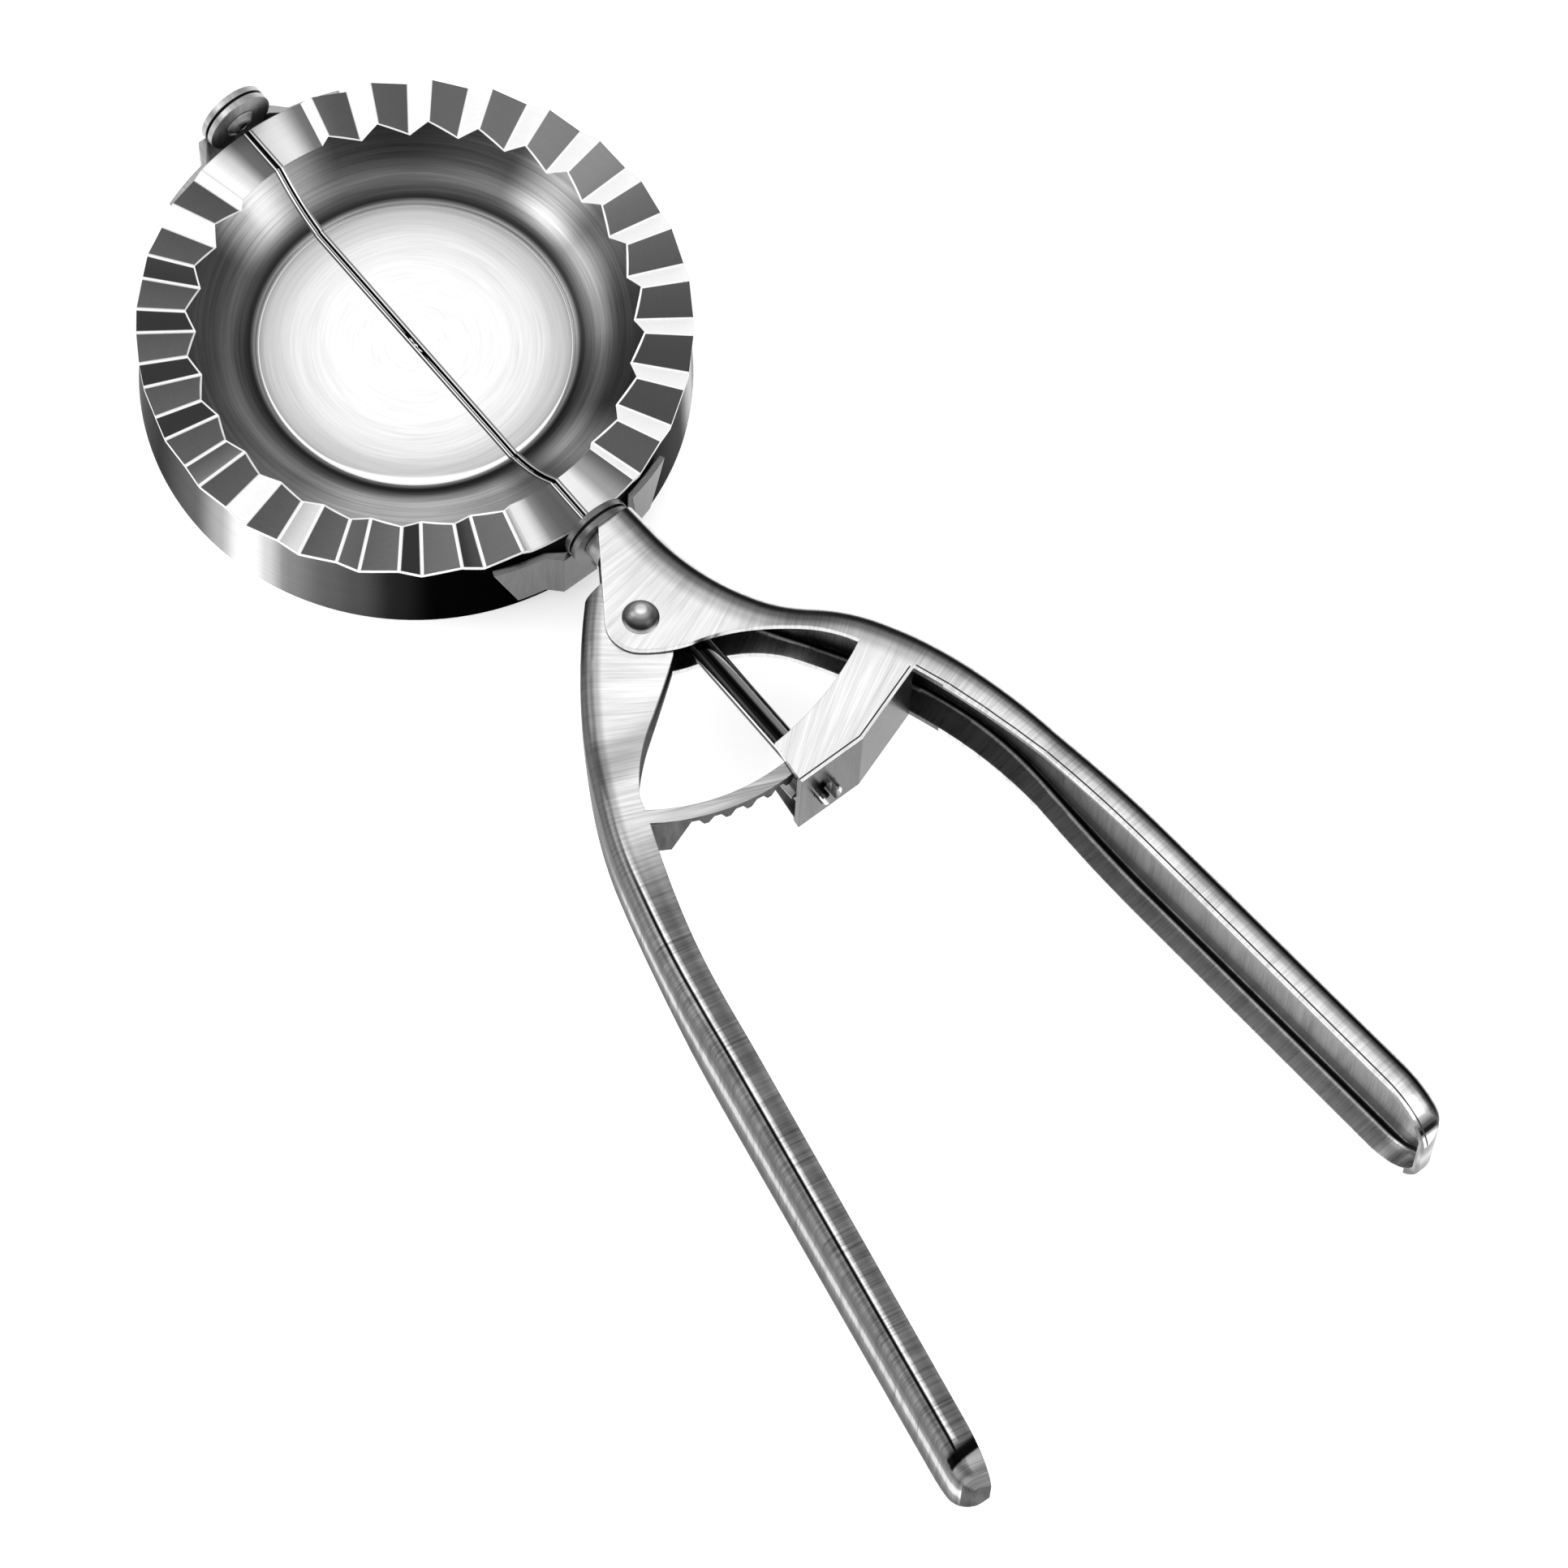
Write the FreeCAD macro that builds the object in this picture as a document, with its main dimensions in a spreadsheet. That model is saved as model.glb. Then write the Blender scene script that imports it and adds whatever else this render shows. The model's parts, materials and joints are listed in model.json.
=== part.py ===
"""Dumpling press: two half moulds folded together by a squeeze lever, a rack and a pinion.

Own frame, in millimetres: +Z up, +X along the hinge shaft towards the handles, origin at the
centre of the round mould, in the plane of the cutter's lower edge.
"""
import FreeCAD, Part
import math
import os

import Sketcher

Vector = FreeCAD.Vector

# Every driving size, in millimetres, degrees or a plain count, with what it measures.
# Names that end in _x, and the places of the flares, run along the shaft's line from the neck's
# front. Names that end in _y run sideways from that line.
SIZES = [
    ("axis_height", 16.2, "hinge shaft's axis above the cutter's lower edge"),
    ("rim_drop", 0.6, "rim's middle plane below the hinge axis"),
    ("split_half_gap", 0.2, "each half mould's edge from the split plane"),
    ("rim_radius", 42.8, "pleated rim's outer corners"),
    ("rim_width", 8.4, "pleated rim, from its inner edge at the middle plane to its corners"),
    ("pleat_height", 1.5, "pleat from trough to crest"),
    ("pleat_pitch_angle", 12.85, "from one pleat to the next"),
    ("pleat_ramp_angle", 8.2, "wide facet of a pleat"),
    ("pleat_lead_angle", 2.2, "short facet from the plain rim to the first pleat"),
    ("pleat_count", 12, "pleats on each half"),
    ("dish_wall", 0.8, "sheet of the dish"),
    ("wall_slope_angle", 43.0, "dish wall below the rim"),
    ("bowl_top_drop", 1.8, "round bowl's top edge below the rim's middle plane"),
    ("bowl_side_width", 9.7, "dish wall seen from above, from the floor to the rim"),
    ("floor_depth", 6.2, "foot of the dish wall below the rim's middle plane"),
    ("floor_step", 0.35, "floor below the foot of the wall"),
    ("skirt_wall", 0.8, "sheet of the cutter skirt"),
    ("rim_overhang", 0.6, "rim's corners outside the skirt's top"),
    ("skirt_flare", 0.8, "how much wider the skirt is at its foot, on the radius"),
    ("seat_gap", 0.05, "air between pieces that are seated on each other"),
    ("ear_wall", 1.0, "sheet of the ears and straps"),
    ("ear_radius", 5.6, "round end of an ear"),
    ("ear_stand", 1.3, "inner ear's inside face outside the skirt's foot"),
    ("washer_wall", 0.4, "washer between two ears"),
    ("strap_low", 3.0, "strap's lower edge above the cutter's edge"),
    ("strap_high", 13.6, "strap's upper edge above the cutter's edge"),
    ("strap_bend_angle", 11.0, "where a strap meets the skirt, from the shaft's line"),
    ("strap_end_angle", 22.0, "where a strap ends, from the shaft's line"),
    ("strap_taper", 3.0, "how much shorter the strap's lower edge is"),
    ("strap_knee", 5.4, "where an ear's plate starts to bend, from the shaft's line"),
    ("shaft_radius", 2.0, "drive shaft"),
    ("shaft_front_reach", 0.7, "shaft's front end inside the inner ear's face"),
    ("shaft_tail", 2.0, "shaft's rear end behind the bracket"),
    ("shaft_slot", 1.4, "width and depth of the slot in the shaft's rear end"),
    ("shaft_chamfer", 0.3, "shaft's end chamfers"),
    ("running_gap", 0.05, "radial air of a turning fit"),
    ("fixed_gap", 0.02, "radial air of a fixed fit"),
    ("nose_shank_radius", 1.6, "nose rivet's shank"),
    ("nose_bore_radius", 0.8, "hollow of the nose rivet"),
    ("nose_head_radius", 2.6, "nose rivet's heads"),
    ("nose_inner_head", 0.7, "height of the nose rivet's inner head"),
    ("nose_outer_head", 1.3, "height of the nose rivet's outer head"),
    ("washer_radius", 4.4, "washers between the ears"),
    ("thrust_radius", 3.2, "washer behind the pinion"),
    ("sheet_wall", 1.2, "sheet of the handles"),
    ("neck_half_height", 4.9, "neck's outside from the shaft's plane"),
    ("rack_strip_gap", 0.246, "air between the pinion's tips and the rack strip"),
    ("grip_half_height", 12.5, "fixed grip's outside from the shaft's plane"),
    ("neck_flare_start", 24.7, "neck starts to widen"),
    ("neck_flare_end", 39.7, "neck is as wide as the bracket"),
    ("grip_flare_start", 54.7, "fixed grip starts to widen"),
    ("grip_flare_end", 94.7, "fixed grip is at its full width"),
    ("grip_corner", 10.0, "round of the fixed grip's end, seen from the front"),
    ("edge_round", 2.2, "round along the back of the handles"),
    ("rivet_place_x", 15.9, "pivot rivet along the shaft's line"),
    ("rivet_place_y", -5.6, "pivot rivet beside the shaft's line"),
    ("lobe_radius", 5.4, "neck cheek round the pivot rivet"),
    ("lobe_start_angle", -124.6, "cheek's round starts, about the rivet"),
    ("lobe_end_angle", -40.0, "cheek's round ends, about the rivet"),
    ("neck_left", -1.2, "cheek's corner at the ear, beside the shaft's line"),
    ("neck_back_x", 5.9, "back of the neck starts to curve"),
    ("neck_back_y", 5.6, "back of the neck starts to curve"),
    ("swell_x", 29.8, "back curve's turning point"),
    ("swell_y", 15.2, "back curve's turning point"),
    ("shoulder_x", 48.8, "back of the shoulder"),
    ("shoulder_y", 26.4, "back of the shoulder"),
    ("grip_back_x", 69.0, "grip's back starts to run straight"),
    ("grip_back_y", 30.62, "grip's back starts to run straight"),
    ("grip_tail_x", 149.6, "grip's back ends"),
    ("neck_heading", 2.6, "direction of the neck's back"),
    ("handle_end_x", 154.0, "fixed handle's end"),
    ("throat_x", 24.1, "cheek's edge behind the rivet"),
    ("throat_y", -1.2, "cheek's edge behind the rivet"),
    ("belly_x", 32.2, "cheek's edge below the shoulder"),
    ("belly_y", 11.8, "cheek's edge below the shoulder"),
    ("leg_root_width", 13.1, "bracket leg at the handle, forward from the web"),
    ("leg_root_y", 17.0, "bracket leg's inner edge at the handle"),
    ("leg_tip_width", 7.5, "bracket leg at its inner corner, forward from the web"),
    ("leg_tip_y", -3.8, "bracket leg's inner corner"),
    ("web_low_y", -4.7, "bracket web's free edge"),
    ("web_bend_y", 7.0, "bracket web's bend"),
    ("web_lean", 4.4, "how far the bracket's web leans forward to the handle"),
    ("web_root_y", 20.3, "bracket web's outside at the handle"),
    ("cheek_turn", 25.0, "turn of the cheek's edge up to the throat"),
    ("throat_turn", -34.0, "turn of the cheek's edge from the throat to the belly"),
    ("belly_turn", -16.0, "turn of the cheek's edge from the belly to the leg"),
    ("leg_turn", -24.0, "turn of the leg's inner edge"),
    ("shoulder_turn", -14.0, "turn of the open edge from the web to the grip"),
    ("grip_front_x", 72.3, "grip's open edge starts to run straight"),
    ("grip_front_y", 26.0, "grip's open edge starts to run straight"),
    ("grip_front_end_y", 31.0, "grip's open edge at the end"),
    ("pivot_radius", 1.5, "pivot rivet's shank"),
    ("pivot_head_radius", 2.85, "pivot rivet's domed head"),
    ("pivot_head_height", 1.6, "pivot rivet's domed head"),
    ("pivot_foot_height", 0.9, "pivot rivet's flat head"),
    ("pivot_washer_radius", 3.6, "washers between the cheeks and the lever"),
    ("pivot_washer_wall", 0.25, "washers between the cheeks and the lever"),
    ("lever_gap", 0.35, "air between the cheeks and the lever"),
    ("lever_grip_half_height", 8.75, "lever grip's outside from the shaft's plane"),
    ("lever_flare_start", 55.2, "lever starts to widen"),
    ("lever_flare_end", 85.2, "lever is at its full width"),
    ("lever_corner", 8.2, "round of the lever's end, seen from the front"),
    ("lever_head_x", 7.2, "lever's upper corner"),
    ("lever_head_y", -5.9, "lever's upper corner"),
    ("lever_back_x", 7.5, "lever's back starts"),
    ("lever_back_y", -9.6, "lever's back starts"),
    ("lever_bow_x", 41.0, "lever's back after its bow"),
    ("lever_bow_y", -32.1, "lever's back after its bow"),
    ("lever_knee_x", 48.4, "lever's back at its knee"),
    ("lever_knee_y", -34.7, "lever's back at its knee"),
    ("lever_run_x", 75.0, "lever's back starts to run straight"),
    ("lever_run_y", -41.2, "lever's back starts to run straight"),
    ("lever_tail_x", 149.8, "lever's back ends"),
    ("lever_tail_y", -55.23, "lever's back ends"),
    ("lever_back_heading", -44.8, "direction of the lever's back at its start"),
    ("lever_turn_bow", 21.8, "turn of the lever's back in its bow"),
    ("lever_turn_knee", 6.4, "turn of the lever's back at its knee"),
    ("lever_turn_run", 6.0, "turn of the lever's back before its straight run"),
    ("lever_end_x", 153.9, "lever's end, back side"),
    ("lever_end_y", -53.9, "lever's end, back side"),
    ("lever_front_end_x", 154.6, "lever's end, open side"),
    ("lever_front_end_y", -51.3, "lever's end, open side"),
    ("lever_front_run_x", 77.5, "lever's open edge starts to run straight"),
    ("lever_front_run_y", -36.3, "lever's open edge starts to run straight"),
    ("lever_front_bend_x", 53.1, "lever's open edge below the rack"),
    ("lever_front_bend_y", -29.6, "lever's open edge below the rack"),
    ("lever_front_root_x", 42.8, "lever's open edge at the rack strip"),
    ("lever_front_root_y", -25.6, "lever's open edge at the rack strip"),
    ("lever_window_x", 39.7, "window's corner above the rack strip"),
    ("lever_window_y", -24.6, "window's corner above the rack strip"),
    ("lever_waist_x", 30.2, "window's edge"),
    ("lever_waist_y", -15.1, "window's edge"),
    ("lever_brow_x", 23.3, "window's upper corner"),
    ("lever_brow_y", -5.2, "window's upper corner"),
    ("lever_lobe_radius", 5.2, "lever's round above the pivot rivet"),
    ("lever_lobe_start_angle", 35.0, "lever's round starts, about the rivet"),
    ("lever_lobe_end_angle", 140.0, "lever's round ends, about the rivet"),
    ("lever_end_turn", 55.0, "turn of the lever's back into its end"),
    ("lever_front_turn", -8.6, "turn of the lever's open edge before it runs straight"),
    ("lever_bend_turn", -3.2, "turn of the lever's open edge below the rack"),
    ("lever_window_turn", -23.3, "turn of the window's edge up to the waist"),
    ("lever_waist_turn", 2.8, "turn of the window's edge above the waist"),
    ("rack_strip_width", 2.2, "rack strip, seen from above"),
    ("rack_stand", 2.36, "rack's band in front of the bracket's web"),
    ("rack_start_angle", -38.5, "rack strip's root, about the rivet"),
    ("rack_end_angle", 17.5, "rack strip's free end, about the rivet"),
    ("rack_teeth_per_turn", 63, "rack teeth on a whole circle"),
    ("rack_teeth", 7, "rack teeth that are cut"),
    ("rack_first_tooth", 1, "teeth beyond the shaft when the press is open"),
    ("pinion_teeth", 8, "teeth of the pinion"),
    ("pinion_radius", 4.284, "pinion's pitch circle"),
    ("pressure_angle", 25.0, "tooth flank"),
    ("rack_addendum", 0.7, "rack tooth below its pitch line"),
    ("pinion_addendum", 0.72, "pinion tooth outside its pitch circle"),
    ("tooth_root_gap", 0.25, "air below the rack's tips in the pinion"),
    ("tooth_backlash", 0.3, "each tooth is thinner than half the pitch by this"),
    ("pinion_length", 3.6, "pinion, along the shaft"),
    ("lug_centre_angle", -31.0, "stop lug, about the rivet"),
    ("lug_top_half_width", 3.2, "stop lug at the strip"),
    ("lug_foot_half_width", 1.7, "stop lug's lower edge"),
    ("lug_foot_shift", 1.4, "stop lug's lower edge, towards the lever"),
    ("lug_depth", 3.5, "stop lug's lower edge below the shaft's plane"),
    ("bush_radius", 3.65, "neck bush"),
    ("bush_length", 3.0, "neck bush"),
    ("sleeve_radius", 2.0, "spring sleeve"),
    ("wire_radius", 0.3, "return spring's wire"),
    ("coil_radius", 2.65, "return spring's coil, to the middle of the wire"),
    ("coil_pitch", 1.08, "return spring's rise in one turn"),
    ("coil_turns", 3, "return spring's whole turns"),
    ("fixed_leg_length", 10.7, "spring leg towards the neck"),
    ("lever_leg_length", 16.7, "spring leg towards the lever's back"),
    ("lever_leg_heading", -72.0, "direction of the spring leg towards the lever's back"),
    ("leg_hook", 2.9, "drop of the fixed leg into the far cheek"),
    ("leg_bend_radius", 0.8, "bend of the fixed leg"),
    ("slant_reach", 9.0, "depth of the cut that slants a strap's end"),
    ("cut_overrun", 1.0, "how far cutting shapes reach past the sheet"),
    ("end_overrun", 0.2, "how far a handle's front outline reaches past its end"),
]

SHEET_NAME = "Sizes"
DEGREES_PER_RADIAN = 180.0 / math.pi
HALF_TURN = 180.0
FULL_TURN = 360.0
ON_LINE = 0.05
SAME_POINT = 1e-6
# Where the plain rim's fold lines stand, as shares of its length from the split.
PLAIN_FOLD_SHARES = (-0.125, 0.5, 1.0)


class Size:
    """A number together with the expression that gives it from the sheet's cells."""

    def __init__(self, value, text):
        self.value = float(value)
        self.text = text

    def _join(self, other, sign, value):
        return Size(value, "(%s %s %s)" % (self.text, sign, other.text))

    def __add__(self, other):
        other = as_size(other)
        return self._join(other, "+", self.value + other.value)

    def __sub__(self, other):
        other = as_size(other)
        return self._join(other, "-", self.value - other.value)

    def __mul__(self, other):
        other = as_size(other)
        return self._join(other, "*", self.value * other.value)

    def __truediv__(self, other):
        other = as_size(other)
        return self._join(other, "/", self.value / other.value)

    def __neg__(self):
        return Size(-self.value, "(0 - %s)" % self.text)

    def __radd__(self, other):
        return as_size(other) + self

    def __rsub__(self, other):
        return as_size(other) - self

    def __rmul__(self, other):
        return as_size(other) * self

    def __rtruediv__(self, other):
        return as_size(other) / self


def as_size(number):
    """Give a plain number the same form as a named size."""
    return number if isinstance(number, Size) else Size(number, repr(float(number)))


def sine(angle):
    return Size(math.sin(math.radians(angle.value)), "sin(%s)" % angle.text)


def cosine(angle):
    return Size(math.cos(math.radians(angle.value)), "cos(%s)" % angle.text)


def tangent(angle):
    return Size(math.tan(math.radians(angle.value)), "tan(%s)" % angle.text)


def square_root(size):
    return Size(math.sqrt(size.value), "sqrt(%s)" % size.text)


def slope_angle(rise, run):
    degrees = math.degrees(math.atan2(rise.value, run.value))
    return Size(degrees, "(atan2(%s; %s) / 1deg)" % (rise.text, run.text))


doc = FreeCAD.newDocument("dumpling_press")


def make_sheet():
    """Write the driving sizes into the sheet and return them by name."""
    sheet = doc.addObject("Spreadsheet::Sheet", SHEET_NAME)
    named = {}
    for row, (name, value, words) in enumerate(SIZES, start=1):
        sheet.set("A%d" % row, words)
        sheet.set("B%d" % row, str(value))
        sheet.setAlias("B%d" % row, name)
        named[name] = Size(value, "%s.%s" % (SHEET_NAME, name))
    doc.recompute()
    return named


S = make_sheet()
ZERO = as_size(0)
NODES = []


def polar(centre_x, centre_y, radius, angle):
    """Point at an angle on a circle."""
    return centre_x + radius * cosine(angle), centre_y + radius * sine(angle)


def shifted(point, heading, distance):
    """Point moved to the right of its heading by a distance."""
    return point[0] + distance * sine(heading), point[1] - distance * cosine(heading)


def arc_turn(start, end, heading):
    """Turn of the arc that leaves start along a heading and meets end, left turns positive."""
    return (slope_angle(end[1] - start[1], end[0] - start[0]) - heading) * 2


def bulge_point(start, end, turn):
    """Middle of the arc from start to end that turns by an angle, left turns positive."""
    rise = tangent(turn / 4) / 2
    middle_x = (start[0] + end[0]) / 2 + (end[1] - start[1]) * rise
    middle_y = (start[1] + end[1]) / 2 - (end[0] - start[0]) * rise
    return middle_x, middle_y


def bind(target, path, size):
    """Tie a property or constraint to the sheet."""
    target.setExpression(path, size.text)


def origin_plane(body, role):
    """The body's own origin plane with this role."""
    return [item for item in body.Origin.OriginFeatures if item.Role == role][0]


def new_body(name):
    return doc.addObject("PartDesign::Body", name)


def new_sketch(body, name, role, lift=None):
    """Sketch on one of the body's origin planes, lifted along the plane's normal."""
    sketch = body.newObject("Sketcher::SketchObject", name)
    sketch.AttachmentSupport = [(origin_plane(body, role), "")]
    sketch.MapMode = "FlatFace"
    if lift is not None:
        bind(sketch, "AttachmentOffset.Base.z", lift)
    return sketch


def place_point(sketch, geometry, position, point):
    """Hold a sketch point at its two named coordinates."""
    for kind, size in (("DistanceX", point[0]), ("DistanceY", point[1])):
        constraint = Sketcher.Constraint(kind, -1, 1, geometry, position, size.value)
        index = sketch.addConstraint(constraint)
        bind(sketch, "Constraints[%d]" % index, size)


def flat(point):
    return Vector(point[0].value, point[1].value, 0)


def draw_outline(sketch, steps):
    """Draw a closed outline of steps: each is its start point and the turn to the next point."""
    edges = []
    for index, (start, turn) in enumerate(steps):
        end = steps[(index + 1) % len(steps)][0]
        if turn is None:
            line = sketch.addGeometry(Part.LineSegment(flat(start), flat(end)), False)
            edges.append((line, 1, 2))
            continue
        middle = bulge_point(start, end, turn)
        arc = sketch.addGeometry(Part.Arc(flat(start), flat(middle), flat(end)), False)
        starts_first = sketch.getPoint(arc, 1).distanceToPoint(flat(start)) < SAME_POINT
        edges.append((arc, 1, 2) if starts_first else (arc, 2, 1))
        mark = sketch.addGeometry(Part.Point(flat(middle)), True)
        place_point(sketch, mark, 1, middle)
        sketch.addConstraint(Sketcher.Constraint("PointOnObject", mark, 1, arc))
    for index, (edge, first, last) in enumerate(edges):
        following, following_first, _ = edges[(index + 1) % len(edges)]
        joined = Sketcher.Constraint("Coincident", edge, last, following, following_first)
        sketch.addConstraint(joined)
        place_point(sketch, edge, first, steps[index][0])
    return sketch


def draw_circle(sketch, centre, radius):
    """Draw a circle at named coordinates."""
    circle = sketch.addGeometry(Part.Circle(flat(centre), Vector(0, 0, 1), radius.value), False)
    place_point(sketch, circle, 3, centre)
    index = sketch.addConstraint(Sketcher.Constraint("Radius", circle, radius.value))
    bind(sketch, "Constraints[%d]" % index, radius)
    return sketch


def pad(body, name, sketch, length, both_ways=False):
    feature = body.newObject("PartDesign::Pad", name)
    feature.Profile = sketch
    feature.Midplane = both_ways
    bind(feature, "Length", length)
    return feature


def pocket(body, name, sketch, length, both_ways=False, forward=False):
    feature = body.newObject("PartDesign::Pocket", name)
    feature.Profile = sketch
    feature.Midplane = both_ways
    feature.Reversed = forward
    bind(feature, "Length", length)
    return feature


def revolution(body, name, sketch, axis_name, angle=FULL_TURN):
    feature = body.newObject("PartDesign::Revolution", name)
    feature.Profile = sketch
    feature.ReferenceAxis = (sketch, [axis_name])
    feature.Angle = angle
    return feature


def combine(kind, name, base, tool):
    """Cut, fuse or intersect two objects."""
    result = doc.addObject("Part::" + kind, name)
    result.Base = base
    result.Tool = tool
    return result


def cylinder(name, radius, height, place, line="Z"):
    """Round bar whose lower end stands at a place, along Z or X."""
    bar = doc.addObject("Part::Cylinder", name)
    bind(bar, "Radius", radius)
    bind(bar, "Height", height)
    if line == "X":
        bar.Placement = FreeCAD.Placement(Vector(), FreeCAD.Rotation(Vector(0, 1, 0), HALF_TURN / 2))
    for axis, size in zip("xyz", place):
        bind(bar, "Placement.Base." + axis, size)
    return bar


def node(name, feature, half_turned=False):
    """Name a finished piece, and turn it half round the mould's upright axis if asked."""
    feature.Label = name
    if half_turned:
        feature.Placement = FreeCAD.Placement(Vector(), FreeCAD.Rotation(Vector(0, 0, 1), HALF_TURN))
    NODES.append(feature)
    return feature


# Places that several pieces share.
rim_plane = S["axis_height"] - S["rim_drop"]
rim_inner_radius = S["rim_radius"] - S["rim_width"]
floor_radius = rim_inner_radius - S["bowl_side_width"]
half_pleat = S["pleat_height"] / 2
wall_run = 1 / tangent(S["wall_slope_angle"])
wall_across = S["dish_wall"] / sine(S["wall_slope_angle"])
skirt_top_radius = S["rim_radius"] - S["rim_overhang"]
skirt_foot_radius = skirt_top_radius + S["skirt_flare"]
strap_inner_radius = skirt_foot_radius + S["seat_gap"]
strap_outer_radius = strap_inner_radius + S["ear_wall"]
inner_ear_place = skirt_foot_radius + S["ear_stand"]
inner_ear_outside = inner_ear_place + S["ear_wall"]
outer_ear_place = inner_ear_outside + S["washer_wall"] + S["seat_gap"] * 2
neck_place = outer_ear_place + S["ear_wall"]


def along(name):
    """Place of a size that runs along the shaft's line from the neck's front."""
    return neck_place + S[name]


def spot(name):
    """Point of a handle's outline in the resting plane."""
    return along(name + "_x"), S[name + "_y"]


rivet = spot("rivet_place")
rack_arm = S["pinion_radius"] * S["rack_teeth_per_turn"] / S["pinion_teeth"]
rack_band_radius = square_root(rack_arm * rack_arm + rivet[1] * rivet[1])
rack_outer_radius = rack_band_radius + S["sheet_wall"] / 2
rack_inner_radius = rack_outer_radius - S["rack_strip_width"]
web_inside = rivet[0] + rack_arm + S["rack_stand"]
web_place = web_inside + S["sheet_wall"]
lever_neck_half_height = S["neck_half_height"] - S["sheet_wall"] - S["lever_gap"]
pinion_tip_radius = S["pinion_radius"] + S["pinion_addendum"]
lever_rack_half_height = pinion_tip_radius + S["rack_strip_gap"] + S["sheet_wall"]
bracket_half_height = lever_rack_half_height + S["lever_gap"] + S["sheet_wall"]


def wall_radius(depth):
    """Radius of the dish wall's upper side at a height from the rim's middle plane."""
    return rim_inner_radius + depth * wall_run


def pleat_folds():
    """Fold lines of a half rim as (degrees from the split, height from the middle plane)."""
    quarter_turn = HALF_TURN / 2
    ramp = S["pleat_ramp_angle"].value
    pitch = S["pleat_pitch_angle"].value
    count = int(S["pleat_count"].value)
    crest = half_pleat.value
    folds = []
    for index in range(count):
        middle = quarter_turn + pitch * (index - (count - 1) / 2)
        folds.append((middle - ramp / 2, -crest))
        folds.append((middle + ramp / 2, crest))
    plain_end = folds[0][0] - S["pleat_lead_angle"].value
    plain = [plain_end * share for share in PLAIN_FOLD_SHARES]
    far_side = [(HALF_TURN - angle, 0.0) for angle in reversed(plain)]
    return [(angle, 0.0) for angle in plain] + folds + far_side


def pleated_ring(name, section):
    """Ring whose radial sections follow the pleats: section(height) gives (radius, height) pairs."""
    wires = []
    for angle, height in pleat_folds():
        corners = [Vector(radius, 0, level) for radius, level in section(height)]
        wire = Part.makePolygon(corners + corners[:1])
        wire.rotate(Vector(), Vector(0, 0, 1), angle)
        wires.append(wire)
    ring = doc.addObject("Part::Feature", name)
    ring.Shape = Part.makeLoft(wires, True, True)
    return ring


def rim_section(height):
    """Sheet of the pleated rim with the top of the dish wall, at one fold."""
    level = rim_plane.value
    wall = S["dish_wall"].value
    across = wall_across.value
    top_drop = -S["bowl_top_drop"].value
    return [
        (S["rim_radius"].value, level + height),
        (wall_radius(height).value, level + height),
        (wall_radius(top_drop).value, level + top_drop),
        (wall_radius(top_drop).value + across, level + top_drop),
        (wall_radius(height - wall).value + across, level + height - wall),
        (S["rim_radius"].value, level + height - wall),
    ]


def clearing_section(height):
    """Space above the underside of the rim, which trims the top of the skirt."""
    under = rim_plane.value + height - S["dish_wall"].value - S["seat_gap"].value
    inside = skirt_top_radius.value - S["skirt_wall"].value - S["cut_overrun"].value
    outside = skirt_foot_radius.value + S["cut_overrun"].value
    top = S["axis_height"].value + S["pleat_height"].value
    return [(inside, under), (outside, under), (outside, top), (inside, top)]


def split_box(name):
    """Box that trims a half mould back from the split plane."""
    box = doc.addObject("Part::Box", name)
    reach = skirt_foot_radius + S["cut_overrun"]
    bind(box, "Length", reach * 2)
    bind(box, "Width", reach)
    bind(box, "Height", S["axis_height"] * 2)
    bind(box, "Placement.Base.x", -reach)
    bind(box, "Placement.Base.y", S["split_half_gap"] - reach)
    bind(box, "Placement.Base.z", -S["cut_overrun"])
    return box


def mould_dish(name, half_turned):
    """Half dish: round bowl and pleated rim in one sheet."""
    body = new_body(name + "_bowl")
    sketch = new_sketch(body, name + "_profile", "XZ_Plane")
    top = rim_plane - S["bowl_top_drop"]
    foot = rim_plane - S["floor_depth"]
    floor = foot - S["floor_step"]
    wall = S["dish_wall"]
    drop = S["floor_depth"] - S["bowl_top_drop"]
    top_radius = wall_radius(-S["bowl_top_drop"])
    run = top_radius - floor_radius
    chord_angle = slope_angle(drop, run)
    turn = (chord_angle - S["wall_slope_angle"]) * 2
    foot_slope = S["wall_slope_angle"] + turn
    outer_foot = (floor_radius + wall * sine(foot_slope), foot - wall * cosine(foot_slope))
    steps = [
        ((top_radius, top), turn),
        ((floor_radius, foot), None),
        ((floor_radius - S["floor_step"], floor), None),
        ((ZERO, floor), None),
        ((ZERO, floor - wall), None),
        ((floor_radius, floor - wall), None),
        (outer_foot, -turn),
        ((top_radius + wall_across, top), None),
    ]
    draw_outline(sketch, steps)
    revolution(body, name + "_turned", sketch, "V_Axis", HALF_TURN)
    ring = pleated_ring(name + "_rim", rim_section)
    whole = combine("Fuse", name + "_sheet", body, ring)
    trimmed = combine("Cut", name, whole, split_box(name + "_split"))
    return node(name, trimmed, half_turned)


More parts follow.
